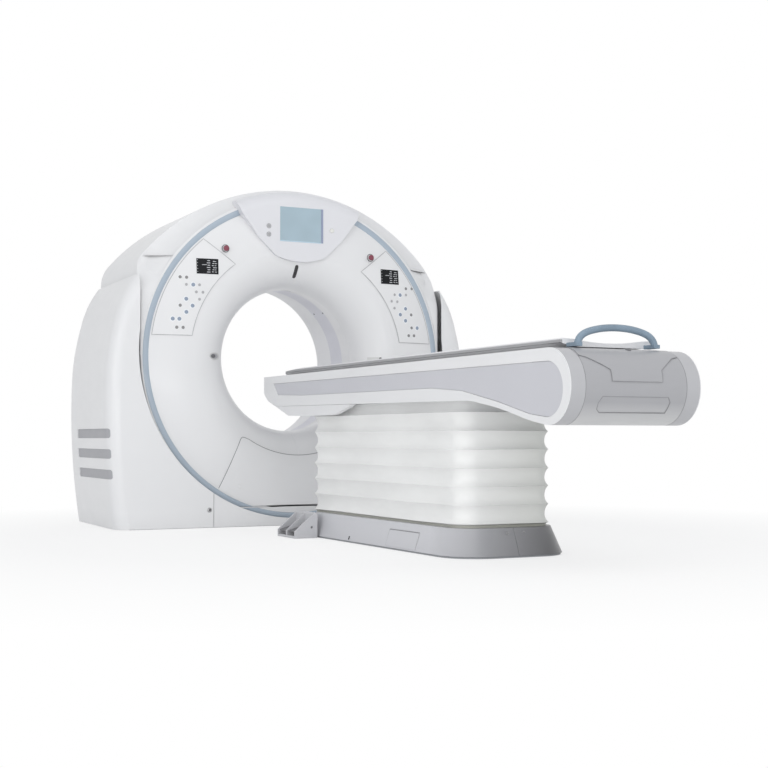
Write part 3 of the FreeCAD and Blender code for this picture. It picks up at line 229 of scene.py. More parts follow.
def metal(name, colour, rough=0.3, brush=0.3):
    """Brushed metal, with streaks across y."""
    material, tree, shader = nodes_of(name)
    shader.inputs["Metallic"].default_value = 1.0
    streak = noise_node(tree, 60, 4, (1, 14, 1))
    tone = mottled(tree, streak, colour, 0.9, 1.06)
    tree.links.new(tone, shader.inputs["Base Color"])
    roughened(tree, shader, streak, rough - 0.06, rough + 0.12)
    bumped(tree, shader, [(streak.outputs["Fac"], brush, 0.0003)])
    return material


def coated_cloth(name, colour):
    """Vinyl-coated cloth of the bellows: a fine weave under a soft skin, with painted shade in its
    creases, at its foot end and under its lowest ridge.
    """
    material, tree, shader = nodes_of(name)
    tone = mottled(tree, noise_node(tree, 3.2, 5, (1, 1, 3)), colour, 0.95, 1.03)
    # painted shade in the creases of the folds
    geometry = tree.nodes.new("ShaderNodeNewGeometry")
    crease = ranged(tree, geometry.outputs["Pointiness"], 0.35, 0.0, 0.40, 0.50)
    tone = mixed(tree, crease, tone, shade(colour, 0.78))
    x, y, z = axes_of(tree)
    # painted shade towards the foot end
    shadow = ranged(tree, way_round(tree, x, y), 0.0, 0.75, CLOTH_START, CLOTH_END)
    tone = mixed(tree, shadow, tone, (0.52, 0.53, 0.49))
    # painted shade in a band under the lowest ridge
    dust_and_painted_shade = ranged(tree, z, 0.8, 0.0, CLOTH_LOW, CLOTH_HIGH)
    tone = mixed(tree, dust_and_painted_shade, tone, (0.30, 0.30, 0.25))
    tree.links.new(tone, shader.inputs["Base Color"])
    place = tree.nodes.new("ShaderNodeTexCoord")
    weave = tree.nodes.new("ShaderNodeTexBrick")
    weave.inputs["Scale"].default_value = 420
    weave.inputs["Mortar Size"].default_value = 0.03
    turn = tree.nodes.new("ShaderNodeMapping")
    turn.inputs["Rotation"].default_value = (math.radians(90), 0, math.radians(90))
    tree.links.new(place.outputs["Object"], turn.inputs[0])
    tree.links.new(turn.outputs[0], weave.inputs["Vector"])
    soft = noise_node(tree, 36, 4, (1, 1, 0.5))
    shader.inputs["Sheen Weight"].default_value = 0.15
    roughened(tree, shader, soft, 0.5, 0.66)
    bumped(tree, shader, [(weave.outputs["Fac"], 0.10, 0.0003),
                          (soft.outputs["Fac"], 0.18, 0.003)])
    return material


def rubber(name, colour, rough=0.6):
    """Matt rubber or paint, with a fine grain."""
    material, tree, shader = nodes_of(name)
    fine = noise_node(tree, 420, 3)
    tone = mottled(tree, noise_node(tree, 12, 3), colour, 0.88, 1.1)
    tree.links.new(tone, shader.inputs["Base Color"])
    roughened(tree, shader, fine, rough - 0.08, rough + 0.08)
    bumped(tree, shader, [(fine.outputs["Fac"], 0.2, 0.0004)])
    return material


def lit_glass(name, colour, glow, rough=0.12, coat=0.4, shine=0.5):
    """A display behind glass: a dim even glow with faint clouds."""
    material, tree, shader = nodes_of(name)
    tone = mottled(tree, noise_node(tree, 5.0, 2), colour, 0.94, 1.04, 0.35, 0.65)
    tree.links.new(tone, shader.inputs["Base Color"])
    tree.links.new(tone, shader.inputs["Emission Color"])
    shader.inputs["Emission Strength"].default_value = glow
    dust_and_painted_shade = noise_node(tree, 160, 3)
    roughened(tree, shader, dust_and_painted_shade, rough, rough + 0.1)
    shader.inputs["Coat Weight"].default_value = coat
    shader.inputs["Specular IOR Level"].default_value = shine
    bumped(tree, shader, [(dust_and_painted_shade.outputs["Fac"], 0.02, 0.0002)])
    return material


COVER = (0.80, 0.80, 0.805)
white = plastic("white_cover", COVER, scuff=True)
white_plain = plastic("white_head", COVER)
housing_white = plastic("white_housing", (0.76, 0.76, 0.785))
blue = plastic("blue_trim", (0.40, 0.47, 0.545), rough=0.34)
film = plastic("window_film", (0.74, 0.74, 0.79), rough=0.5, coat=0.05, peel=0.02)
liner = plastic("liner_white", (0.84, 0.84, 0.85), rough=0.4, coat=0.05, peel=0.02)
panel_grey = plastic("side_panel_grey", (0.58, 0.58, 0.615), rough=0.34, coat=0.05, peel=0.02)
# its paler underside is painted bounce light from the floor
barrel_grey = plastic("barrel_grey", (0.385, 0.385, 0.40), rough=0.36, coat=0.1, peel=0.02,
                      change=painted_bounce_on_barrel, second=(0.60, 0.60, 0.60))
couch_white = plastic("couch_white", COVER, change=foot_block, second=(0.46, 0.46, 0.475))
# its dark foot end is painted shade
base_grey = plastic("base_grey", (0.61, 0.61, 0.635), rough=0.34, coat=0.05, peel=0.02,
                    scuff=True, change=painted_foot_shade, second=(0.12, 0.12, 0.125))
pedal_grey = plastic("pedal_grey", (0.55, 0.55, 0.57), rough=0.35, coat=0.2, scuff=True)
# its greyer upright sides are painted shade
table_white = plastic("table_white", (0.80, 0.80, 0.81), rough=0.42, peel=0.1, grain=350,
                      change=painted_board_side_shade, second=(0.36, 0.36, 0.37))
vinyl = coated_cloth("bellows_vinyl", (0.88, 0.88, 0.865))
handle_blue = rubber("handle_blue", (0.21, 0.28, 0.35), 0.42)
dark = rubber("dark_gap", (0.035, 0.036, 0.04), 0.7)
line_grey = rubber("seam_grey", (0.27, 0.27, 0.28), 0.6)
line_pale = rubber("seam_pale", (0.50, 0.50, 0.51), 0.6)
pedal_dark = rubber("pedal_dark", (0.16, 0.16, 0.17), 0.55)
grille_grey = plastic("grille_grey", (0.42, 0.42, 0.44), rough=0.55, coat=0.0)
key_blue = plastic("key_blue", (0.27, 0.33, 0.42), rough=0.4)
key_grey = plastic("key_grey", (0.25, 0.25, 0.25), rough=0.4)
key_pale = plastic("key_pale", (0.42, 0.42, 0.43), rough=0.4)
key_rim = plastic("key_rim", (0.88, 0.90, 0.93), rough=0.4)
recess_pale = plastic("recess_pale", (0.66, 0.66, 0.65), rough=0.5)
red = plastic("button_red", (0.22, 0.035, 0.065), rough=0.3, coat=0.4)
black = plastic("gloss_black", (0.015, 0.015, 0.018), rough=0.2, coat=0.5)
screen_blue = lit_glass("screen_blue", (0.33, 0.43, 0.49), 0.15)
screen_edge = plastic("screen_edge", (0.30, 0.34, 0.47), rough=0.35)
screen_foot = plastic("screen_foot", (0.55, 0.70, 0.80), rough=0.35)
display_dark = lit_glass("display_dark", (0.009, 0.010, 0.012), 0.0, rough=0.3, coat=0.0,
                         shine=0.15)
glyph = lit_glass("display_marks", (0.42, 0.43, 0.45), 0.2)
lens_white = plastic("lens_white", (0.78, 0.78, 0.74), rough=0.2, coat=0.6)
steel = metal("bearing_steel", (0.60, 0.61, 0.62))
alloy = metal("rotor_alloy", (0.70, 0.71, 0.73), 0.36)
brass = metal("slip_brass", (0.66, 0.50, 0.26), 0.3)
screw_steel = metal("screw_steel", (0.42, 0.42, 0.43), 0.35, 0.1)
frame_paint = plastic("painted_steel", (0.36, 0.37, 0.39), rough=0.5, coat=0.0, grain=260,
                      peel=0.15)
unit_paint = plastic("unit_grey", (0.18, 0.20, 0.22), rough=0.5, coat=0.0, grain=260, peel=0.15)
tube_paint = plastic("tube_paint", (0.62, 0.62, 0.60), rough=0.45, coat=0.0)
detector_black = rubber("detector_black", (0.03, 0.03, 0.035), 0.5)

FINISH = {
    white: "left_side_cover right_side_cover lower_front_cover lower_rear_cover front_sill",
    couch_white: "left_couch_side right_couch_side couch_deck belly_pan",
    white_plain: "front_cover outer_shell rear_cover left_control_panel right_control_panel "
                 "service_panel",
    housing_white: "display_housing",
    blue: "trim_ring sill_ring",
    film: "scan_window",
    liner: "bore_liner",
    panel_grey: "left_side_panel right_side_panel",
    barrel_grey: "foot_barrel barrel_lid",
    base_grey: "left_skirt right_skirt access_door",
    pedal_grey: "pedal_box",
    table_white: "tabletop",
    vinyl: "bellows",
    handle_blue: "handle",
    frame_paint: "base_frame left_upright right_upright head_frame lift_base lift_middle "
                 "couch_frame",
    steel: "left_tilt_bearing right_tilt_bearing main_bearing",
    alloy: "rotor_frame",
    tube_paint: "xray_tube collimator",
    unit_paint: "tilt_gearbox power_unit high_voltage_unit cooling_unit brush_block",
    detector_black: "detector_array",
    brass: "slip_ring",
    screen_blue: "display_screen",
    display_dark: "left_panel_display right_panel_display",
    red: "left_estop right_estop",
    grille_grey: "left_vent_grille right_vent_grille",
    pedal_dark: "left_pedal right_pedal",
}
for material, names in FINISH.items():
    for name in names.split():
        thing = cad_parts[name]
        thing.data.materials.clear()
        thing.data.materials.append(material)

# ---------------------------------------------------------------- mesh helpers

FACING = Vector((0, -1, 0))         # towards the couch
PATCH_THICK = 0.0016
LINE_STEP = 0.012
MERGE = 1e-6
RING_STEPS = 32


def piece(name, points, faces, material, body, smooth=True):
    mesh = bpy.data.meshes.new(name)
    mesh.from_pydata([tuple(point) for point in points], [], faces)
    mesh.validate()
    work = bmesh.new()
    work.from_mesh(mesh)
    bmesh.ops.remove_doubles(work, verts=work.verts, dist=MERGE)
    bmesh.ops.recalc_face_normals(work, faces=work.faces)
    work.to_mesh(mesh)
    work.free()
    mesh.polygons.foreach_set("use_smooth", [smooth] * len(mesh.polygons))
    thing = bpy.data.objects.new(name, mesh)
    bpy.context.scene.collection.objects.link(thing)
    mesh.materials.append(material)
    if body:
        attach(thing, body)
    return thing


def loops_piece(name, loops, material, body, cap=True, smooth=True):
    """Skin between loops of equal length."""
    count = len(loops[0])
    points = [point for loop in loops for point in loop]
    faces = []
    for row in range(len(loops) - 1):
        for index in range(count):
            after = (index + 1) % count
            faces.append((row * count + index, row * count + after,
                          (row + 1) * count + after, (row + 1) * count + index))
    if cap:
        faces.append(tuple(range(count)))
        faces.append(tuple(range((len(loops) - 1) * count, len(loops) * count)))
    return piece(name, points, faces, material, body, smooth)


def turns(count):
    """Angles set evenly round a full turn."""
    return [2 * math.pi * step / count for step in range(count)]


def across(normal):
    """Two directions square to a unit normal and to each other."""
    side = normal.orthogonal().normalized()
    return side, normal.cross(side)


def ring_tube(name, centre, radius, bar_radius, material, body, sides):
    """A round bar bent into an upright ring that faces the couch."""
    line = [centre + Vector((radius * math.cos(turn), 0, radius * math.sin(turn)))
            for turn in turns(RING_STEPS)]
    loops = []
    side = None
    for index, point in enumerate(line):
        tangent = (line[(index + 1) % len(line)] - line[index - 1]).normalized()
        if side is None:
            side = tangent.orthogonal().normalized()
        side = (side - tangent * side.dot(tangent)).normalized()
        other = tangent.cross(side)
        loops.append([point + (side * math.cos(turn) + other * math.sin(turn)) * bar_radius
                      for turn in turns(sides)])
    loops.append(loops[0])
    return loops_piece(name, loops, material, body, cap=False)


def dome_y(radius):
    """Depth of the front cover at a distance from the bore axis."""
    if radius >= APEX_RADIUS:
        fall = math.sqrt(DOME_RADIUS ** 2 - (radius - APEX_RADIUS) ** 2)
        return APEX_Y + DOME_RADIUS - fall
    return APEX_Y + LIP_CURVE - math.sqrt(max(0.0, LIP_CURVE ** 2 - (APEX_RADIUS - radius) ** 2))


def dome_normal(x, z):
    radius = math.hypot(x, z)
    slope = (dome_y(radius + 1e-4) - dome_y(radius - 1e-4)) / 2e-4
    return Vector((slope * x / radius, -1, slope * z / radius)).normalized()


def on_dome(x, z, lift):
    """A point on the front cover at x and at z above the bore axis, lifted off it."""
    return Vector((x, dome_y(math.hypot(x, z)), ISO + z)) + dome_normal(x, z) * lift


def spread(points, step, closed):
    """Points set every step along straight runs of a flat line."""
    line = []
    for (ax, az), (bx, bz) in zip(points, points[1:] + (points[:1] if closed else [])):
        count = max(1, int(math.hypot(bx - ax, bz - az) / step))
        line += [(ax + (bx - ax) * index / count, az + (bz - az) * index / count)
                 for index in range(count)]
    if not closed:
        line.append(points[-1])
    return line


def side_steps(line, width, closed=False):
    """Each point of a flat line, with the step square to it of half the width."""
    count = len(line)
    for index, (u, v) in enumerate(line):
        last_u, last_v = line[index - 1] if index or closed else line[0]
        next_u, next_v = line[(index + 1) % count] if index + 1 < count or closed else line[-1]
        length = math.hypot(next_u - last_u, next_v - last_v) or 1.0
        yield (u, v, -(next_v - last_v) / length * width / 2,
               (next_u - last_u) / length * width / 2)


def dome_line(name, points, width, lift, material, closed=False, step=LINE_STEP):
    """A thin raised line that follows the front cover."""
    loops = []
    for x, z, side_x, side_z in side_steps(spread(points, step, closed), width, closed):
        low, high = (x - side_x, z - side_z), (x + side_x, z + side_z)
        loops.append([on_dome(*low, lift - PATCH_THICK), on_dome(*low, lift),
                      on_dome(*high, lift), on_dome(*high, lift - PATCH_THICK)])
    if closed:
        loops.append(loops[0])
    return loops_piece(name, loops, material, "gantry_head", cap=not closed, smooth=False)


def dome_patch(name, outline, lift, material, thick=PATCH_THICK):
    """A filled patch of the front cover inside an outline of (x, z) points."""
    outer = [on_dome(x, z, lift) for x, z in outline]
    inner = [on_dome(x, z, lift - thick) for x, z in outline]
    return loops_piece(name, [inner, outer], material, "gantry_head", smooth=False)


def domed_disc(name, centre, normal, radius, height, material, body, sides, dish=0.0):
    """A button or screw head: a disc with a rounded edge, crowned or dished in the middle."""
    normal = normal.normalized()
    side, other = across(normal)
    profile = [(1.0, 0.0), (1.0, 0.55), (0.93, 0.85), (0.8, 1.0), (0.45, 1.06 - dish),
               (0.12, 1.08 - dish)]
    loops = [[centre + normal * height * rise
              + (side * math.cos(turn) + other * math.sin(turn)) * radius * share
              for turn in turns(sides)] for share, rise in profile]
    return loops_piece(name, loops, material, body)


def dome_disc(name, x, z, lift, radius, height, material, sides, dish=0.0):
    """A disc that sits square on the front cover."""
    return domed_disc(name, on_dome(x, z, lift), dome_normal(x, z), radius, height, material,
                      "gantry_head", sides, dish)


def screw(name, centre, normal, radius):
    """A round head with a cross in it, on the stand or the couch base."""
    head = domed_disc(name, centre, normal, radius, radius * 0.35, screw_steel, "stand", 18)
    normal = normal.normalized()
    side, other = across(normal)
    base = centre + normal * radius * 0.36
    # the cross is a dark flat piece on the head: painted shade in its recess
    for index, (along, wide) in enumerate(((side, other), (other, side))):
        corners = [base + along * radius * a + wide * radius * b
                   for a, b in ((0.6, 0.12), (-0.6, 0.12), (-0.6, -0.12), (0.6, -0.12))]
        lifted = [corner + normal * radius * 0.05 for corner in corners]
        groove = loops_piece("%s_cross_%d" % (name, index), [corners, lifted], dark, None)
        groove.parent = head


# ---------------------------------------------------------------- gantry: front cover details

SECTOR_INNER, SECTOR_OUTER = 0.634, 0.845       # radii of a control panel's long sides
SECTOR_FOOT = 0.110                             # its foot, above the bore axis
SECTOR_TOP_INNER = math.atan2(0.489, 0.360) - 0.008
SECTOR_TOP_OUTER = math.atan2(0.656, 0.560) - 0.006


def arc(radius, start, stop, steps=24):
    """Points round the bore axis between two angles."""
    angles = [start + (stop - start) * index / steps for index in range(steps + 1)]
    return [(radius * math.cos(angle), radius * math.sin(angle)) for angle in angles]


def sector(sign):
    """Outline of a control panel, as (x, z) above the bore axis."""
    inner = arc(SECTOR_INNER, math.asin(SECTOR_FOOT / SECTOR_INNER), SECTOR_TOP_INNER)
    outer = arc(SECTOR_OUTER, SECTOR_TOP_OUTER, math.asin(SECTOR_FOOT / SECTOR_OUTER))
    return [(sign * x, z) for x, z in inner + outer]


# x and z of each key above the bore axis, in millimetres: g grey, b blue, p pale
KEYS = {
    -1: [(-686, 424, "g"), (-652, 423, "g"), (-654, 384, "p"), (-617, 384, "b"),
         (-583, 384, "p"), (-601, 345, "p"), (-565, 345, "p"), (-584, 306, "p"),
         (-656, 306, "b"), (-689, 270, "g"), (-622, 270, "b"), (-656, 235, "b"),
         (-729, 197, "b"), (-694, 197, "b"), (-708, 151, "g"), (-674, 151, "g")],
    1: [(678, 426, "g"), (720, 428, "g"), (597, 386, "p"), (635, 386, "b"), (676, 389, "p"),
        (576, 347, "p"), (614, 346, "p"), (594, 308, "p"), (670, 308, "b"), (633, 272, "b"),
        (708, 274, "g"), (668, 238, "b"), (709, 198, "g"), (749, 199, "b"), (688, 152, "g"),
        (725, 153, "g")],
}
KEY_LOOK = {"g": (key_grey, 0.0088, "grille_grey"), "b": (key_blue, 0.0104, "blue_trim"),
            "p": (key_pale, 0.0078, "grille_grey")}
KEY_LIFT, KEY_THICK = 0.0022, 0.0028
KEY_RIM = 1.55                              # radius of a key's pale rim, by the key's
KEY_RIM_LIFT, KEY_RIM_THICK = 0.0014, 0.0012
DISPLAY_LEFT = {-1: -0.597, 1: 0.509}       # left edge of each panel's display
DISPLAY_FOOT = 0.446
MARK_LIFT, MARK_THICK = 0.0042, 0.0012
BORDER_WIDE = 0.0042
ESTOP_X, ESTOP_RISE, ESTOP_Y = 0.438, 0.590, -0.4215
ESTOP_CAP = 0.0155
ESTOP_RING, ESTOP_RING_BAR, ESTOP_RING_BACK = 0.0198, 0.0024, 0.0125


def bar(x, z, wide, tall):
    return [(x, z), (x + wide, z), (x + wide, z + tall), (x, z + tall)]


def display_marks(side, left):
    """Generic blocks and bars: ticks at the left edge, one bar, columns at the right."""
    marks = [(0.003, 0.010 + 0.016 * row, 0.005, 0.003) for row in range(5)]
    marks += [(0.030, 0.048, 0.026, 0.003)]
    for row in range(6):
        odd, third = row % 2, row % 3
        marks += [(0.056 + 0.004 * odd, 0.008 + 0.0125 * row, 0.019 - 0.005 * odd, 0.0042),
                  (0.084 + 0.003 * third, 0.010 + 0.0115 * row, 0.009, 0.0042),
                  (0.099, 0.010 + 0.0115 * row, 0.012 - 0.003 * odd, 0.0036)]
    for index, (x, z, wide, tall) in enumerate(marks):
        dome_patch("%s_mark_%02d" % (side, index + 1), bar(left + x, DISPLAY_FOOT + z, wide, tall),
                   MARK_LIFT, glyph, thick=MARK_THICK)


for sign, keys in KEYS.items():
    side = "left" if sign < 0 else "right"
    dome_line(side + "_panel_border", sector(sign), BORDER_WIDE, 0.0029, line_pale,
              closed=True, step=0.02)
    for index, (x, z, look) in enumerate(keys):
        x, z = x / 1000, z / 1000
        colour, size, slot = KEY_LOOK[look]
        dome_disc("%s_key_rim_%02d" % (side, index + 1), x, z, KEY_RIM_LIFT, size * KEY_RIM,
                  KEY_RIM_THICK, key_rim, 20)
        dome_disc("%s_key_%02d" % (side, index + 1), x, z, KEY_LIFT, size, KEY_THICK, colour,
                  20)
    display_marks(side, DISPLAY_LEFT[sign])
    front = Vector((sign * ESTOP_X, ESTOP_Y, ISO + ESTOP_RISE))
    domed_disc(side + "_estop_cap", front, FACING, ESTOP_CAP, 0.0035, red, side + "_button",
               28)
    ring_tube(side + "_estop_ring", front - FACING * ESTOP_RING_BACK, ESTOP_RING, ESTOP_RING_BAR,
              pedal_dark, "gantry_head", 8)

# the light windows: a long one over the bore, a dished one at the left, a slot at the right
WINDOW_TOP = [(-0.0095, 0.517), (-0.0120, 0.464)]
WINDOW_TOP_HALF = 0.0100
dome_line("light_window_top", WINDOW_TOP, 2 * WINDOW_TOP_HALF, 0.0022, black)
for end, (x, z) in zip(("end", "foot"), WINDOW_TOP):
    dome_disc("light_window_top_" + end, x, z, 0.0004, WINDOW_TOP_HALF, 0.0016, black,
              24)
DISH_X, DISH_Z = -0.484, 0.004
# the dished window's grey well and dark glass sit off centre to its left: painted shade in its
# hollow
for name, shift, wide, tall, lift, colour, slot in (
        ("light_window_left", 0.0, 0.036, 0.020, 0.0022, recess_pale, "grille_grey"),
        ("light_window_left_well_painted_shade", -0.004, 0.026, 0.014, 0.0030, grille_grey, "grille_grey"),
        ("light_window_left_glass_in_painted_shade", -0.012, 0.015, 0.010, 0.0038, pedal_dark, "display_dark")):
    dish = [(DISH_X + shift + wide * math.cos(turn), DISH_Z + tall * math.sin(turn))
            for turn in turns(28)]
    dome_patch(name, dish, lift, colour)
SLOT_Z = 0.013
dome_line("light_window_right", [(0.452, SLOT_Z), (0.520, SLOT_Z)], 0.0200, 0.0020, recess_pale)
dome_disc("light_window_right_glass", 0.514, SLOT_Z, 0.0022, 0.0085, 0.0016, black,
          24)

# service panel under the bore: border line, quarter-turn locks and the crease above it
FAN_RADIUS = 0.536
fan = [(-0.458, -0.712), (-0.345, -0.448), (-0.339, -0.440), (-0.330, -0.436), (-0.318, -0.4385)]
fan = fan + arc(FAN_RADIUS, math.radians(-123), math.radians(-57)) \
    + [(-x, z) for x, z in reversed(fan)]
dome_line("service_panel_border", fan, 0.0030, 0.0024, line_grey)
for sign, side in ((-1, "left"), (1, "right")):
    dome_disc("service_lock_" + side, sign * 0.341, -0.702, 0.0012, 0.0135, 0.0028, white_plain,
              28, dish=0.5)
# the crease is a raised strip of the paler liner white: a painted highlight along it
dome_line("front_cover_crease", [(0.0, -0.4055), (0.002, -0.45), (0.002, -0.534)], 0.0022, 0.0012,
          liner)

# ---------------------------------------------------------------- gantry: front edges of the flanks

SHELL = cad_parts["outer_shell"]
EDGE_FRONT, EDGE_ROUND = -0.3700, 0.011     # the square edge: its depth and its rounding
EDGE_REAR = -0.270
EDGE_FOOT, EDGE_TOP = 0.02, 0.54            # its run, above the bore axis
EDGE_EASE = 0.24                            # it fades into the roll over this height
RIM = 0.897                                 # where the roll starts, from the bore axis
FLANK_Y = -0.260                            # the flank is flat here
SKIN = 0.0004                               # it stands this far off the shell
EDGE_STEPS, ROLL_STEPS = 40, 11


def shell_at(start, way):
    """The first point of the outer shell met from a start along a way."""
    return SHELL.ray_cast(Vector(start), Vector(way))[1]


def flank_edge(name, sign):
    """The squarer front edge where the rolled front of the head meets its flat flank."""
    loops = []
    for step in range(EDGE_STEPS + 1):
        rise = EDGE_FOOT + (EDGE_TOP - EDGE_FOOT) * step / EDGE_STEPS
        height = ISO + rise
        share = min(1.0, max(0.0, (EDGE_TOP - rise) / EDGE_EASE))
        full = share ** 2 * (3 - 2 * share)
        edge = shell_at((2.0, FLANK_Y, height), (-1, 0, 0)).x
        start = math.sqrt(RIM ** 2 - rise ** 2)
        front = []
        for index in range(ROLL_STEPS + 1):
            x = start + (edge - start) * math.sin(math.pi / 2 * index / ROLL_STEPS)
            rolled = shell_at((min(x, edge - SKIN), -1.0, height), (0, 1, 0)).y
            near = max(0.0, x - (edge - EDGE_ROUND))
            square = EDGE_FRONT + EDGE_ROUND - math.sqrt(max(0.0, EDGE_ROUND ** 2 - near ** 2))
            front.append((x, rolled + (square - rolled) * full - SKIN))
        deep = front[-1][1]
        back = max(deep, EDGE_REAR) + 0.002
        rear = [(edge + 0.0003, back), (edge - 0.006, back), (edge - 0.012, deep + 0.012),
                (start, front[0][1] + 0.006)]
        loops.append([Vector((sign * x, y, height)) for x, y in front + rear])
    form = loops_piece(name, loops, white_plain, "gantry_head")
    split = form.modifiers.new("edge", "EDGE_SPLIT")
    split.split_angle = math.radians(40)


flank_edge("left_flank_edge", -1)
flank_edge("right_flank_edge", 1)

# ---------------------------------------------------------------- gantry: display housing details

HOUSING_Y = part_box("display_housing")[0][1]
PROUD = 0.0005                              # rings and strips stand this far in front of it
face_y = HOUSING_Y - PROUD
STATUS_X, STATUS_Z = -0.191, (1.652, 1.606)
LENS_X, LENS_Z = 0.190, 1.650
for index, z in enumerate(STATUS_Z):
    domed_disc("status_lamp_%d" % (index + 1), Vector((STATUS_X, HOUSING_Y, z)), FACING, 0.0095,
               0.002, key_pale, "gantry_head", 24)
    ring_tube("status_ring_%d" % (index + 1), Vector((STATUS_X, face_y, z)), 0.0125, 0.0011,
              line_grey, "gantry_head", 6)
domed_disc("housing_lens", Vector((LENS_X, HOUSING_Y, LENS_Z)), FACING, 0.0125, 0.006,
           lens_white, "gantry_head", 28)
screen_low, screen_high = (Vector(corner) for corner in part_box("display_screen"))


def slab(name, low, high, material, ease=0.0008):
    """A thin strip with eased edges between two corners, on the housing."""
    (ax, ay, az), (bx, by, bz) = low, high
    rims = [[Vector(point) for point in ((ax + inset, y, az + inset), (bx - inset, y, az + inset),
                                         (bx - inset, y, bz - inset), (ax + inset, y, bz - inset))]
            for y, inset in ((by, 0.0), (ay + ease, 0.0), (ay, ease))]
    return loops_piece(name, rims, material, "gantry_head", smooth=False)


slab("screen_side", (screen_high.x + 0.0005, face_y - 0.003, screen_low.z - 0.004),
     (screen_high.x + 0.0115, face_y + 0.001, screen_high.z), screen_edge)
slab("screen_foot", (screen_low.x, face_y - 0.002, screen_low.z - 0.006),
     (screen_high.x, face_y + 0.001, screen_low.z - 0.0005), screen_foot)

# ---------------------------------------------------------------- bore details


def lathe_patch(name, start, stop, front, rear, lift, material, steps):
    """A patch inside the bore between two angles from the top and two (y, radius) rims."""
    rims = [(*front, lift), (*rear, lift), (*rear, lift - 0.0015), (*front, lift - 0.0015)]
    loops = []
    for index in range(steps + 1):
        turn = math.radians(start + (stop - start) * index / steps)
        loops.append([Vector(((radius - off) * math.sin(turn), y,
                              ISO + (radius - off) * math.cos(turn))) for y, radius, off in rims])
    return loops_piece(name, loops, material, "gantry_head", smooth=False)


lathe_patch("bore_lamp_window", -8.0, 6.0, (-0.180, 0.4032), (-0.120, 0.4109), 0.0014, barrel_grey,
            16)
for index, (y, radius) in enumerate(((-0.056, 0.4186), (0.085, 0.4277))):
    lathe_patch("bore_mark_%d" % (index + 1), 44.6, 45.8, (y - 0.005, radius), (y + 0.005, radius),
                0.0012, dark, 4)

# ---------------------------------------------------------------- stand details

STAND_HALF, STAND_FOOT_HALF = 1.080, 1.030
STAND_FRONT, STAND_LONG, STAND_TAPER = -0.400, 0.920, 0.022
STAND_BELT, STAND_SWELL = 0.800, 0.0075     # height of its widest line, bulge of its sides
VENT_FRONT, VENT_LONG = -0.352, 0.628
VENT_TOP, VENT_PITCH = 0.507, 0.108
SLAT_PITCH = 0.010


def cover_x(y, z):
    """Outer surface of the right side cover, near the vents."""
    half = STAND_HALF - STAND_TAPER * (y - STAND_FRONT) / STAND_LONG
    low = STAND_FOOT_HALF * half / STAND_HALF
    share = z / STAND_BELT
    return low + (half - low) * share + STAND_SWELL * 4 * share * (1 - share)


# corners of a slat's section: inwards from the vent's face, and up
SLAT = [(0.0, 0.0016), (0.008, 0.006), (0.010, 0.004), (0.002, -0.0008)]
for sign, side in ((-1, "left"), (1, "right")):
    for vent in range(3):
        for slat in range(5):
            z = VENT_TOP - vent * VENT_PITCH + (slat - 2) * SLAT_PITCH
            loops = []
            for y in (VENT_FRONT, VENT_FRONT + VENT_LONG):
                x = cover_x(y, z) - 0.0045
                loops.append([Vector((sign * (x - deep), y, z + up)) for deep, up in SLAT])
            loops_piece("%s_louvre_%d%d" % (side, vent + 1, slat + 1), loops, grille_grey, "stand")
    screw("%s_cover_lock" % side, Vector((sign * 0.520, STAND_FRONT, 0.095)), FACING, 0.013)

# ---------------------------------------------------------------- foot barrel: joint lines

BARREL_Y, BARREL_Z = -3.335, 0.668
BARREL_RADIUS, LID_RADIUS = 0.1380, 0.1405


def barrel_line(name, points, radius, width, closed=False):
    """A thin line round the barrel through points of x and angle up from its foot side."""
    flat = [(x, math.radians(angle) * radius) for x, angle in points]
    loops = []
    for x, run, side_x, side_run in side_steps(spread(flat, LINE_STEP, closed), width, closed):
        loop = []
        for side, lift in ((-1, -0.0010), (-1, 0.0005), (1, 0.0005), (1, -0.0010)):
            turn = (run + side * side_run) / radius
            size = radius + lift
            loop.append(Vector((x + side * side_x, BARREL_Y - size * math.cos(turn),
                                BARREL_Z + size * math.sin(turn))))
        loops.append(loop)
    if closed:
        loops.append(loops[0])
    return loops_piece(name, loops, line_grey, "couch", cap=not closed,
                       smooth=False)


barrel_line("lid_line", [(-0.2195, 50.5), (-0.1926, 46.5), (-0.1085, 24.3), (-0.1093, 6.6),
                         (0.1106, 6.6), (0.1148, 25.0), (0.1877, 48.5), (0.2150, 52.0)],
            LID_RADIUS, 0.0026)
barrel_line("recess_line", [(-0.1467, -16.0), (0.1409, -16.0), (0.1530, -24.0), (0.1480, -43.0),
                            (-0.1411, -43.0), (-0.1580, -36.6), (-0.1600, -26.0)],
            BARREL_RADIUS, 0.0026, closed=True)
for sign, side in ((-1, "left"), (1, "right")):
    barrel_line(side + "_barrel_seam", [(sign * 0.2206, 74.0), (sign * 0.2206, -84.0)],
                BARREL_RADIUS, 0.0018)
lock_turn = math.radians(74)
lock_way = Vector((0, -math.cos(lock_turn), math.sin(lock_turn)))
domed_disc("lid_lock", Vector((0.034, BARREL_Y, BARREL_Z)) + lock_way * (LID_RADIUS + 0.0003),
           lock_way, 0.011, 0.0022, pedal_dark, "couch", 20)

# ---------------------------------------------------------------- couch base: door, keyhole, screws

SKIRT_HALF, SKIRT_LEAN, SKIRT_HIGH = 0.288, 0.038, 0.118
DOOR_FRONT, DOOR_FOOT, DOOR_LOW, DOOR_HIGH = -2.044, -2.320, 0.0150, 0.0850


def skirt_x(z):
    """The sloping long side of the couch base."""
    return SKIRT_HALF - SKIRT_LEAN * z / SKIRT_HIGH


def skirt_line(name, points, width, material):
    """A thin line on the left long side through points of y and z."""
    loops = []
    for y, z, side_y, side_z in side_steps(points, width):
        loops.append([Vector((-skirt_x(z + side * side_z) - out, y + side * side_y,
                              z + side * side_z))
                      for side, out in ((-1, 0.0006), (-1, 0.0024), (1, 0.0024), (1, 0.0006))])
    return loops_piece(name, loops, material, "stand", smooth=False)


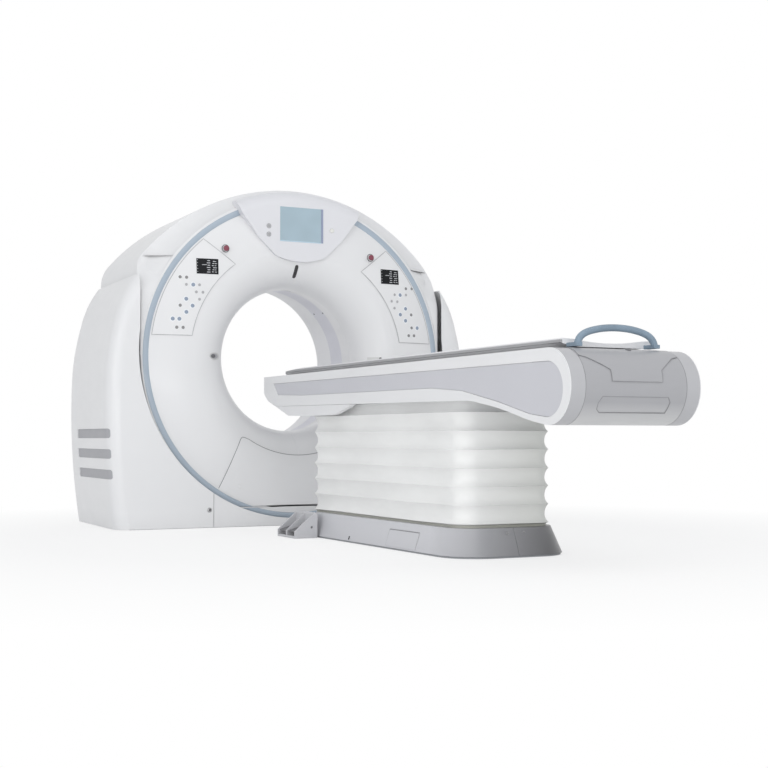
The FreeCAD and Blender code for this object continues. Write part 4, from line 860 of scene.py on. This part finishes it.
skirt_line("door_line_top", [(DOOR_FOOT, DOOR_HIGH), (DOOR_FRONT, DOOR_HIGH)], 0.0040, line_grey)
skirt_line("door_line_front", [(DOOR_FRONT, DOOR_HIGH), (DOOR_FRONT, DOOR_LOW)], 0.0016, line_pale)
skirt_line("door_line_foot", [(DOOR_FOOT, DOOR_HIGH), (DOOR_FOOT, DOOR_LOW)], 0.0016, line_pale)
# the keyhole is a dark strip: painted shade in the hole
skirt_line("keyhole", [(-1.663, 0.0145), (-1.663, 0.0295)], 0.0080, dark)
for index, (x, y) in enumerate(((-0.037, -2.655), (0.046, -2.645))):
    screw("base_screw_%d" % (index + 1), Vector((x, y - 0.0015, 0.098)), Vector((0, -1, 0.25)),
          0.006)

# ---------------------------------------------------------------- bellows

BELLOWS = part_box("bellows")
BELLOWS_RADIUS = 0.095
BELLOWS_MIDDLE = -1.9
RIDGE_LOW, RIDGE_PITCH, RIDGES = 0.132, 0.0762, 7
FOLD_DEEP = 0.0165
VALLEY = 0.46                               # place of the valley between two ridges
VALLEY_CURVE = 2.4
FOLD_SHARES = (0.03, 0.08, 0.16, 0.28, 0.42, 0.56, 0.70, 0.82, 0.91, 0.97)
HELD_LOW, HELD_HIGH, HELD = 0.125, 0.63, 0.15       # both ends hardly wave
WAVE, DIP = 0.0022, 0.0035                  # how far the cloth waves out and the ridges sag
DRAWN_IN = 0.0012                           # the cloth lies this far inside its CAD solid
SIDE_BAND = 0.03                            # points this near a long side wave sideways


def oval(half, front, foot, radius, z, steps=8, run=60):
    """Rounded rectangle in plan, as evenly set points."""
    points = []
    corners = [(half - radius, foot + radius, 270), (half - radius, front - radius, 0),
               (radius - half, front - radius, 90), (radius - half, foot + radius, 180)]
    for index, (x, y, start) in enumerate(corners):
        for step in range(steps + 1):
            turn = math.radians(start + 90 * step / steps)
            points.append(Vector((x + radius * math.cos(turn), y + radius * math.sin(turn), z)))
        next_x, next_y, next_start = corners[(index + 1) % 4]
        turn = math.radians(next_start)
        last = points[-1]
        following = Vector((next_x + radius * math.cos(turn), next_y + radius * math.sin(turn), z))
        count = run if index in (0, 2) else run // 4
        points += [last.lerp(following, step / count) for step in range(1, count)]
    return points


def fold_levels(low, high):
    """Heights up the bellows, each with its depth behind the ridges."""
    levels = [(low, FOLD_DEEP - 0.004), (low + 0.008, FOLD_DEEP - 0.005)]
    for fold in range(RIDGES):
        ridge = RIDGE_LOW + fold * RIDGE_PITCH
        levels.append((ridge, 0.0))
        for share in FOLD_SHARES:
            z = ridge + RIDGE_PITCH * share
            span = VALLEY if share < VALLEY else 1 - VALLEY
            if z < high - 0.002:
                away = abs(share - VALLEY) / span
                levels.append((z, FOLD_DEEP * (1 - away ** VALLEY_CURVE)))
    levels.append((high, FOLD_DEEP - 0.002))
    return levels


def bellows():
    """Pleated cover: a hollow scallop between each two sharp, slightly wavy ridges."""
    (_, back, low), (half, front, high) = BELLOWS
    loops = []
    for z, inset in fold_levels(low, high):
        fold = round((z - RIDGE_LOW) / RIDGE_PITCH)
        hold = HELD if z < HELD_LOW or z > HELD_HIGH else 1.0
        loop = []
        for point in oval(half - inset, front - inset, back + inset, BELLOWS_RADIUS - inset, z):
            wave = noise.noise(Vector((point.x * 3, point.y * 5, z * 9))) * WAVE
            dip = noise.noise(Vector((point.x * 2 + 7, point.y * 3.3, fold * 1.7))) * DIP
            if abs(point.x) > half - SIDE_BAND:
                away = Vector((point.x / half, 0.0, 0.0))
            else:
                away = Vector((0, 1 if point.y > BELLOWS_MIDDLE else -1, 0))
            loop.append(point + away * (wave - DRAWN_IN) * hold + Vector((0, 0, dip * hold)))
        loops.append(loop)
    skin = loops_piece("bellows_cover", loops, vinyl, None, cap=False)
    edge = skin.modifiers.new("edge", "EDGE_SPLIT")
    edge.split_angle = math.radians(48)
    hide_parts("bellows")
    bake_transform(skin)


bellows()

# ---------------------------------------------------------------- camera, light, floor

CAMERA_PLACE = Vector((-2.9574, -7.3820, 0.4883))
CAMERA_YAW, CAMERA_PITCH = math.radians(26.539), math.radians(2.2277)
CAMERA_LENS, CAMERA_SENSOR = 63.75, 36      # in millimetres


def look_camera():
    yaw, pitch = CAMERA_YAW, CAMERA_PITCH
    forward = Vector((math.sin(yaw) * math.cos(pitch), math.cos(yaw) * math.cos(pitch),
                      math.sin(pitch)))
    right = Vector((math.cos(yaw), -math.sin(yaw), 0))
    up = right.cross(forward)
    data = bpy.data.cameras.new("camera")
    data.lens = CAMERA_LENS
    data.sensor_width = CAMERA_SENSOR
    data.sensor_fit = "HORIZONTAL"
    data.clip_end = 100
    camera = bpy.data.objects.new("camera", data)
    turn = Matrix((right, up, -forward)).transposed().to_4x4()
    camera.matrix_world = Matrix.Translation(CAMERA_PLACE) @ turn
    bpy.context.scene.collection.objects.link(camera)
    bpy.context.scene.camera = camera


look_camera()


def area_light(name, place, target, size, power):
    data = bpy.data.lights.new(name, "AREA")
    data.shape = "RECTANGLE"
    data.size, data.size_y = size
    data.energy = power
    lamp = bpy.data.objects.new(name, data)
    way = Vector(target) - Vector(place)
    turn = way.to_track_quat("-Z", "Y").to_matrix().to_4x4()
    lamp.matrix_world = Matrix.Translation(place) @ turn
    bpy.context.scene.collection.objects.link(lamp)


area_light("key", (-6.5, -6.5, 2.2), (0, -1.2, 0.7), (5, 4), 120)
area_light("low_front", (-2.0, -9.0, 0.6), (0, -1.2, 0.9), (6, 1.0), 95)
area_light("gantry", (-0.4, -4.0, 3.4), (0, -0.4, 1.4), (3.5, 2), 20)
area_light("back", (2.0, 5.0, 5.5), (0, 0, 0.9), (5, 4), 12)


def studio_world():
    """White where it is seen or mirrored, and dimmer as a light."""
    world = bpy.data.worlds.new("studio")
    bpy.context.scene.world = world
    world.use_nodes = True
    tree = world.node_tree
    tree.nodes.clear()
    out = tree.nodes.new("ShaderNodeOutputWorld")
    path = tree.nodes.new("ShaderNodeLightPath")
    seen = figured(tree, "MAXIMUM", path.outputs["Is Camera Ray"],
                   path.outputs["Is Transmission Ray"])
    shine = figured(tree, "MAXIMUM", seen, path.outputs["Is Glossy Ray"])
    dim_light = tree.nodes.new("ShaderNodeBackground")
    dim_light.inputs["Color"].default_value = (0.95, 0.97, 1.0, 1)
    dim_light.inputs["Strength"].default_value = 0.66
    backdrop = tree.nodes.new("ShaderNodeBackground")
    backdrop.inputs["Color"].default_value = (1, 1, 1, 1)
    backdrop.inputs["Strength"].default_value = 1.0
    blend = tree.nodes.new("ShaderNodeMixShader")
    tree.links.new(shine, blend.inputs[0])
    tree.links.new(dim_light.outputs[0], blend.inputs[1])
    tree.links.new(backdrop.outputs[0], blend.inputs[2])
    tree.links.new(blend.outputs[0], out.inputs[0])


studio_world()

FLOOR_CENTRE = (0.0, -1.3, 0.0)
FLOOR_NEAR, FLOOR_FAR = 1.6, 3.4            # it turns white between these distances
FLOOR_WHITE = 0.70                          # how white it is up close
FLOOR_HALF, FLOOR_Z = 40, -0.001


def floor():
    """Pale studio floor that keeps the shadow near the object and is plain white further off."""
    material, tree, shader = nodes_of("studio_floor")
    shader.inputs["Base Color"].default_value = (0.93, 0.93, 0.93, 1)
    roughened(tree, shader, noise_node(tree, 4.0, 3), 0.75, 0.9)
    out = next(node for node in tree.nodes if node.type == "OUTPUT_MATERIAL")
    place = tree.nodes.new("ShaderNodeTexCoord")
    distance = tree.nodes.new("ShaderNodeVectorMath")
    distance.operation = "DISTANCE"
    distance.inputs[1].default_value = FLOOR_CENTRE
    tree.links.new(place.outputs["Object"], distance.inputs[0])
    far = ranged(tree, distance.outputs["Value"], FLOOR_WHITE, 1.0, FLOOR_NEAR, FLOOR_FAR)
    path = tree.nodes.new("ShaderNodeLightPath")
    seen = figured(tree, "MAXIMUM", path.outputs["Is Camera Ray"], path.outputs["Is Glossy Ray"])
    glow = tree.nodes.new("ShaderNodeEmission")
    glow.inputs["Strength"].default_value = 1.0
    join = tree.nodes.new("ShaderNodeMixShader")
    tree.links.new(figured(tree, "MULTIPLY", far, seen), join.inputs[0])
    tree.links.new(shader.outputs[0], join.inputs[1])
    tree.links.new(glow.outputs[0], join.inputs[2])
    tree.links.new(join.outputs[0], out.inputs[0])
    points = [(x * FLOOR_HALF, y * FLOOR_HALF, FLOOR_Z)
              for x, y in ((-1, -1), (1, -1), (1, 1), (-1, 1))]
    ground = piece("studio_ground", points, [(0, 1, 2, 3)], material, None)


floor()
bpy.context.scene.view_settings.view_transform = "Standard"
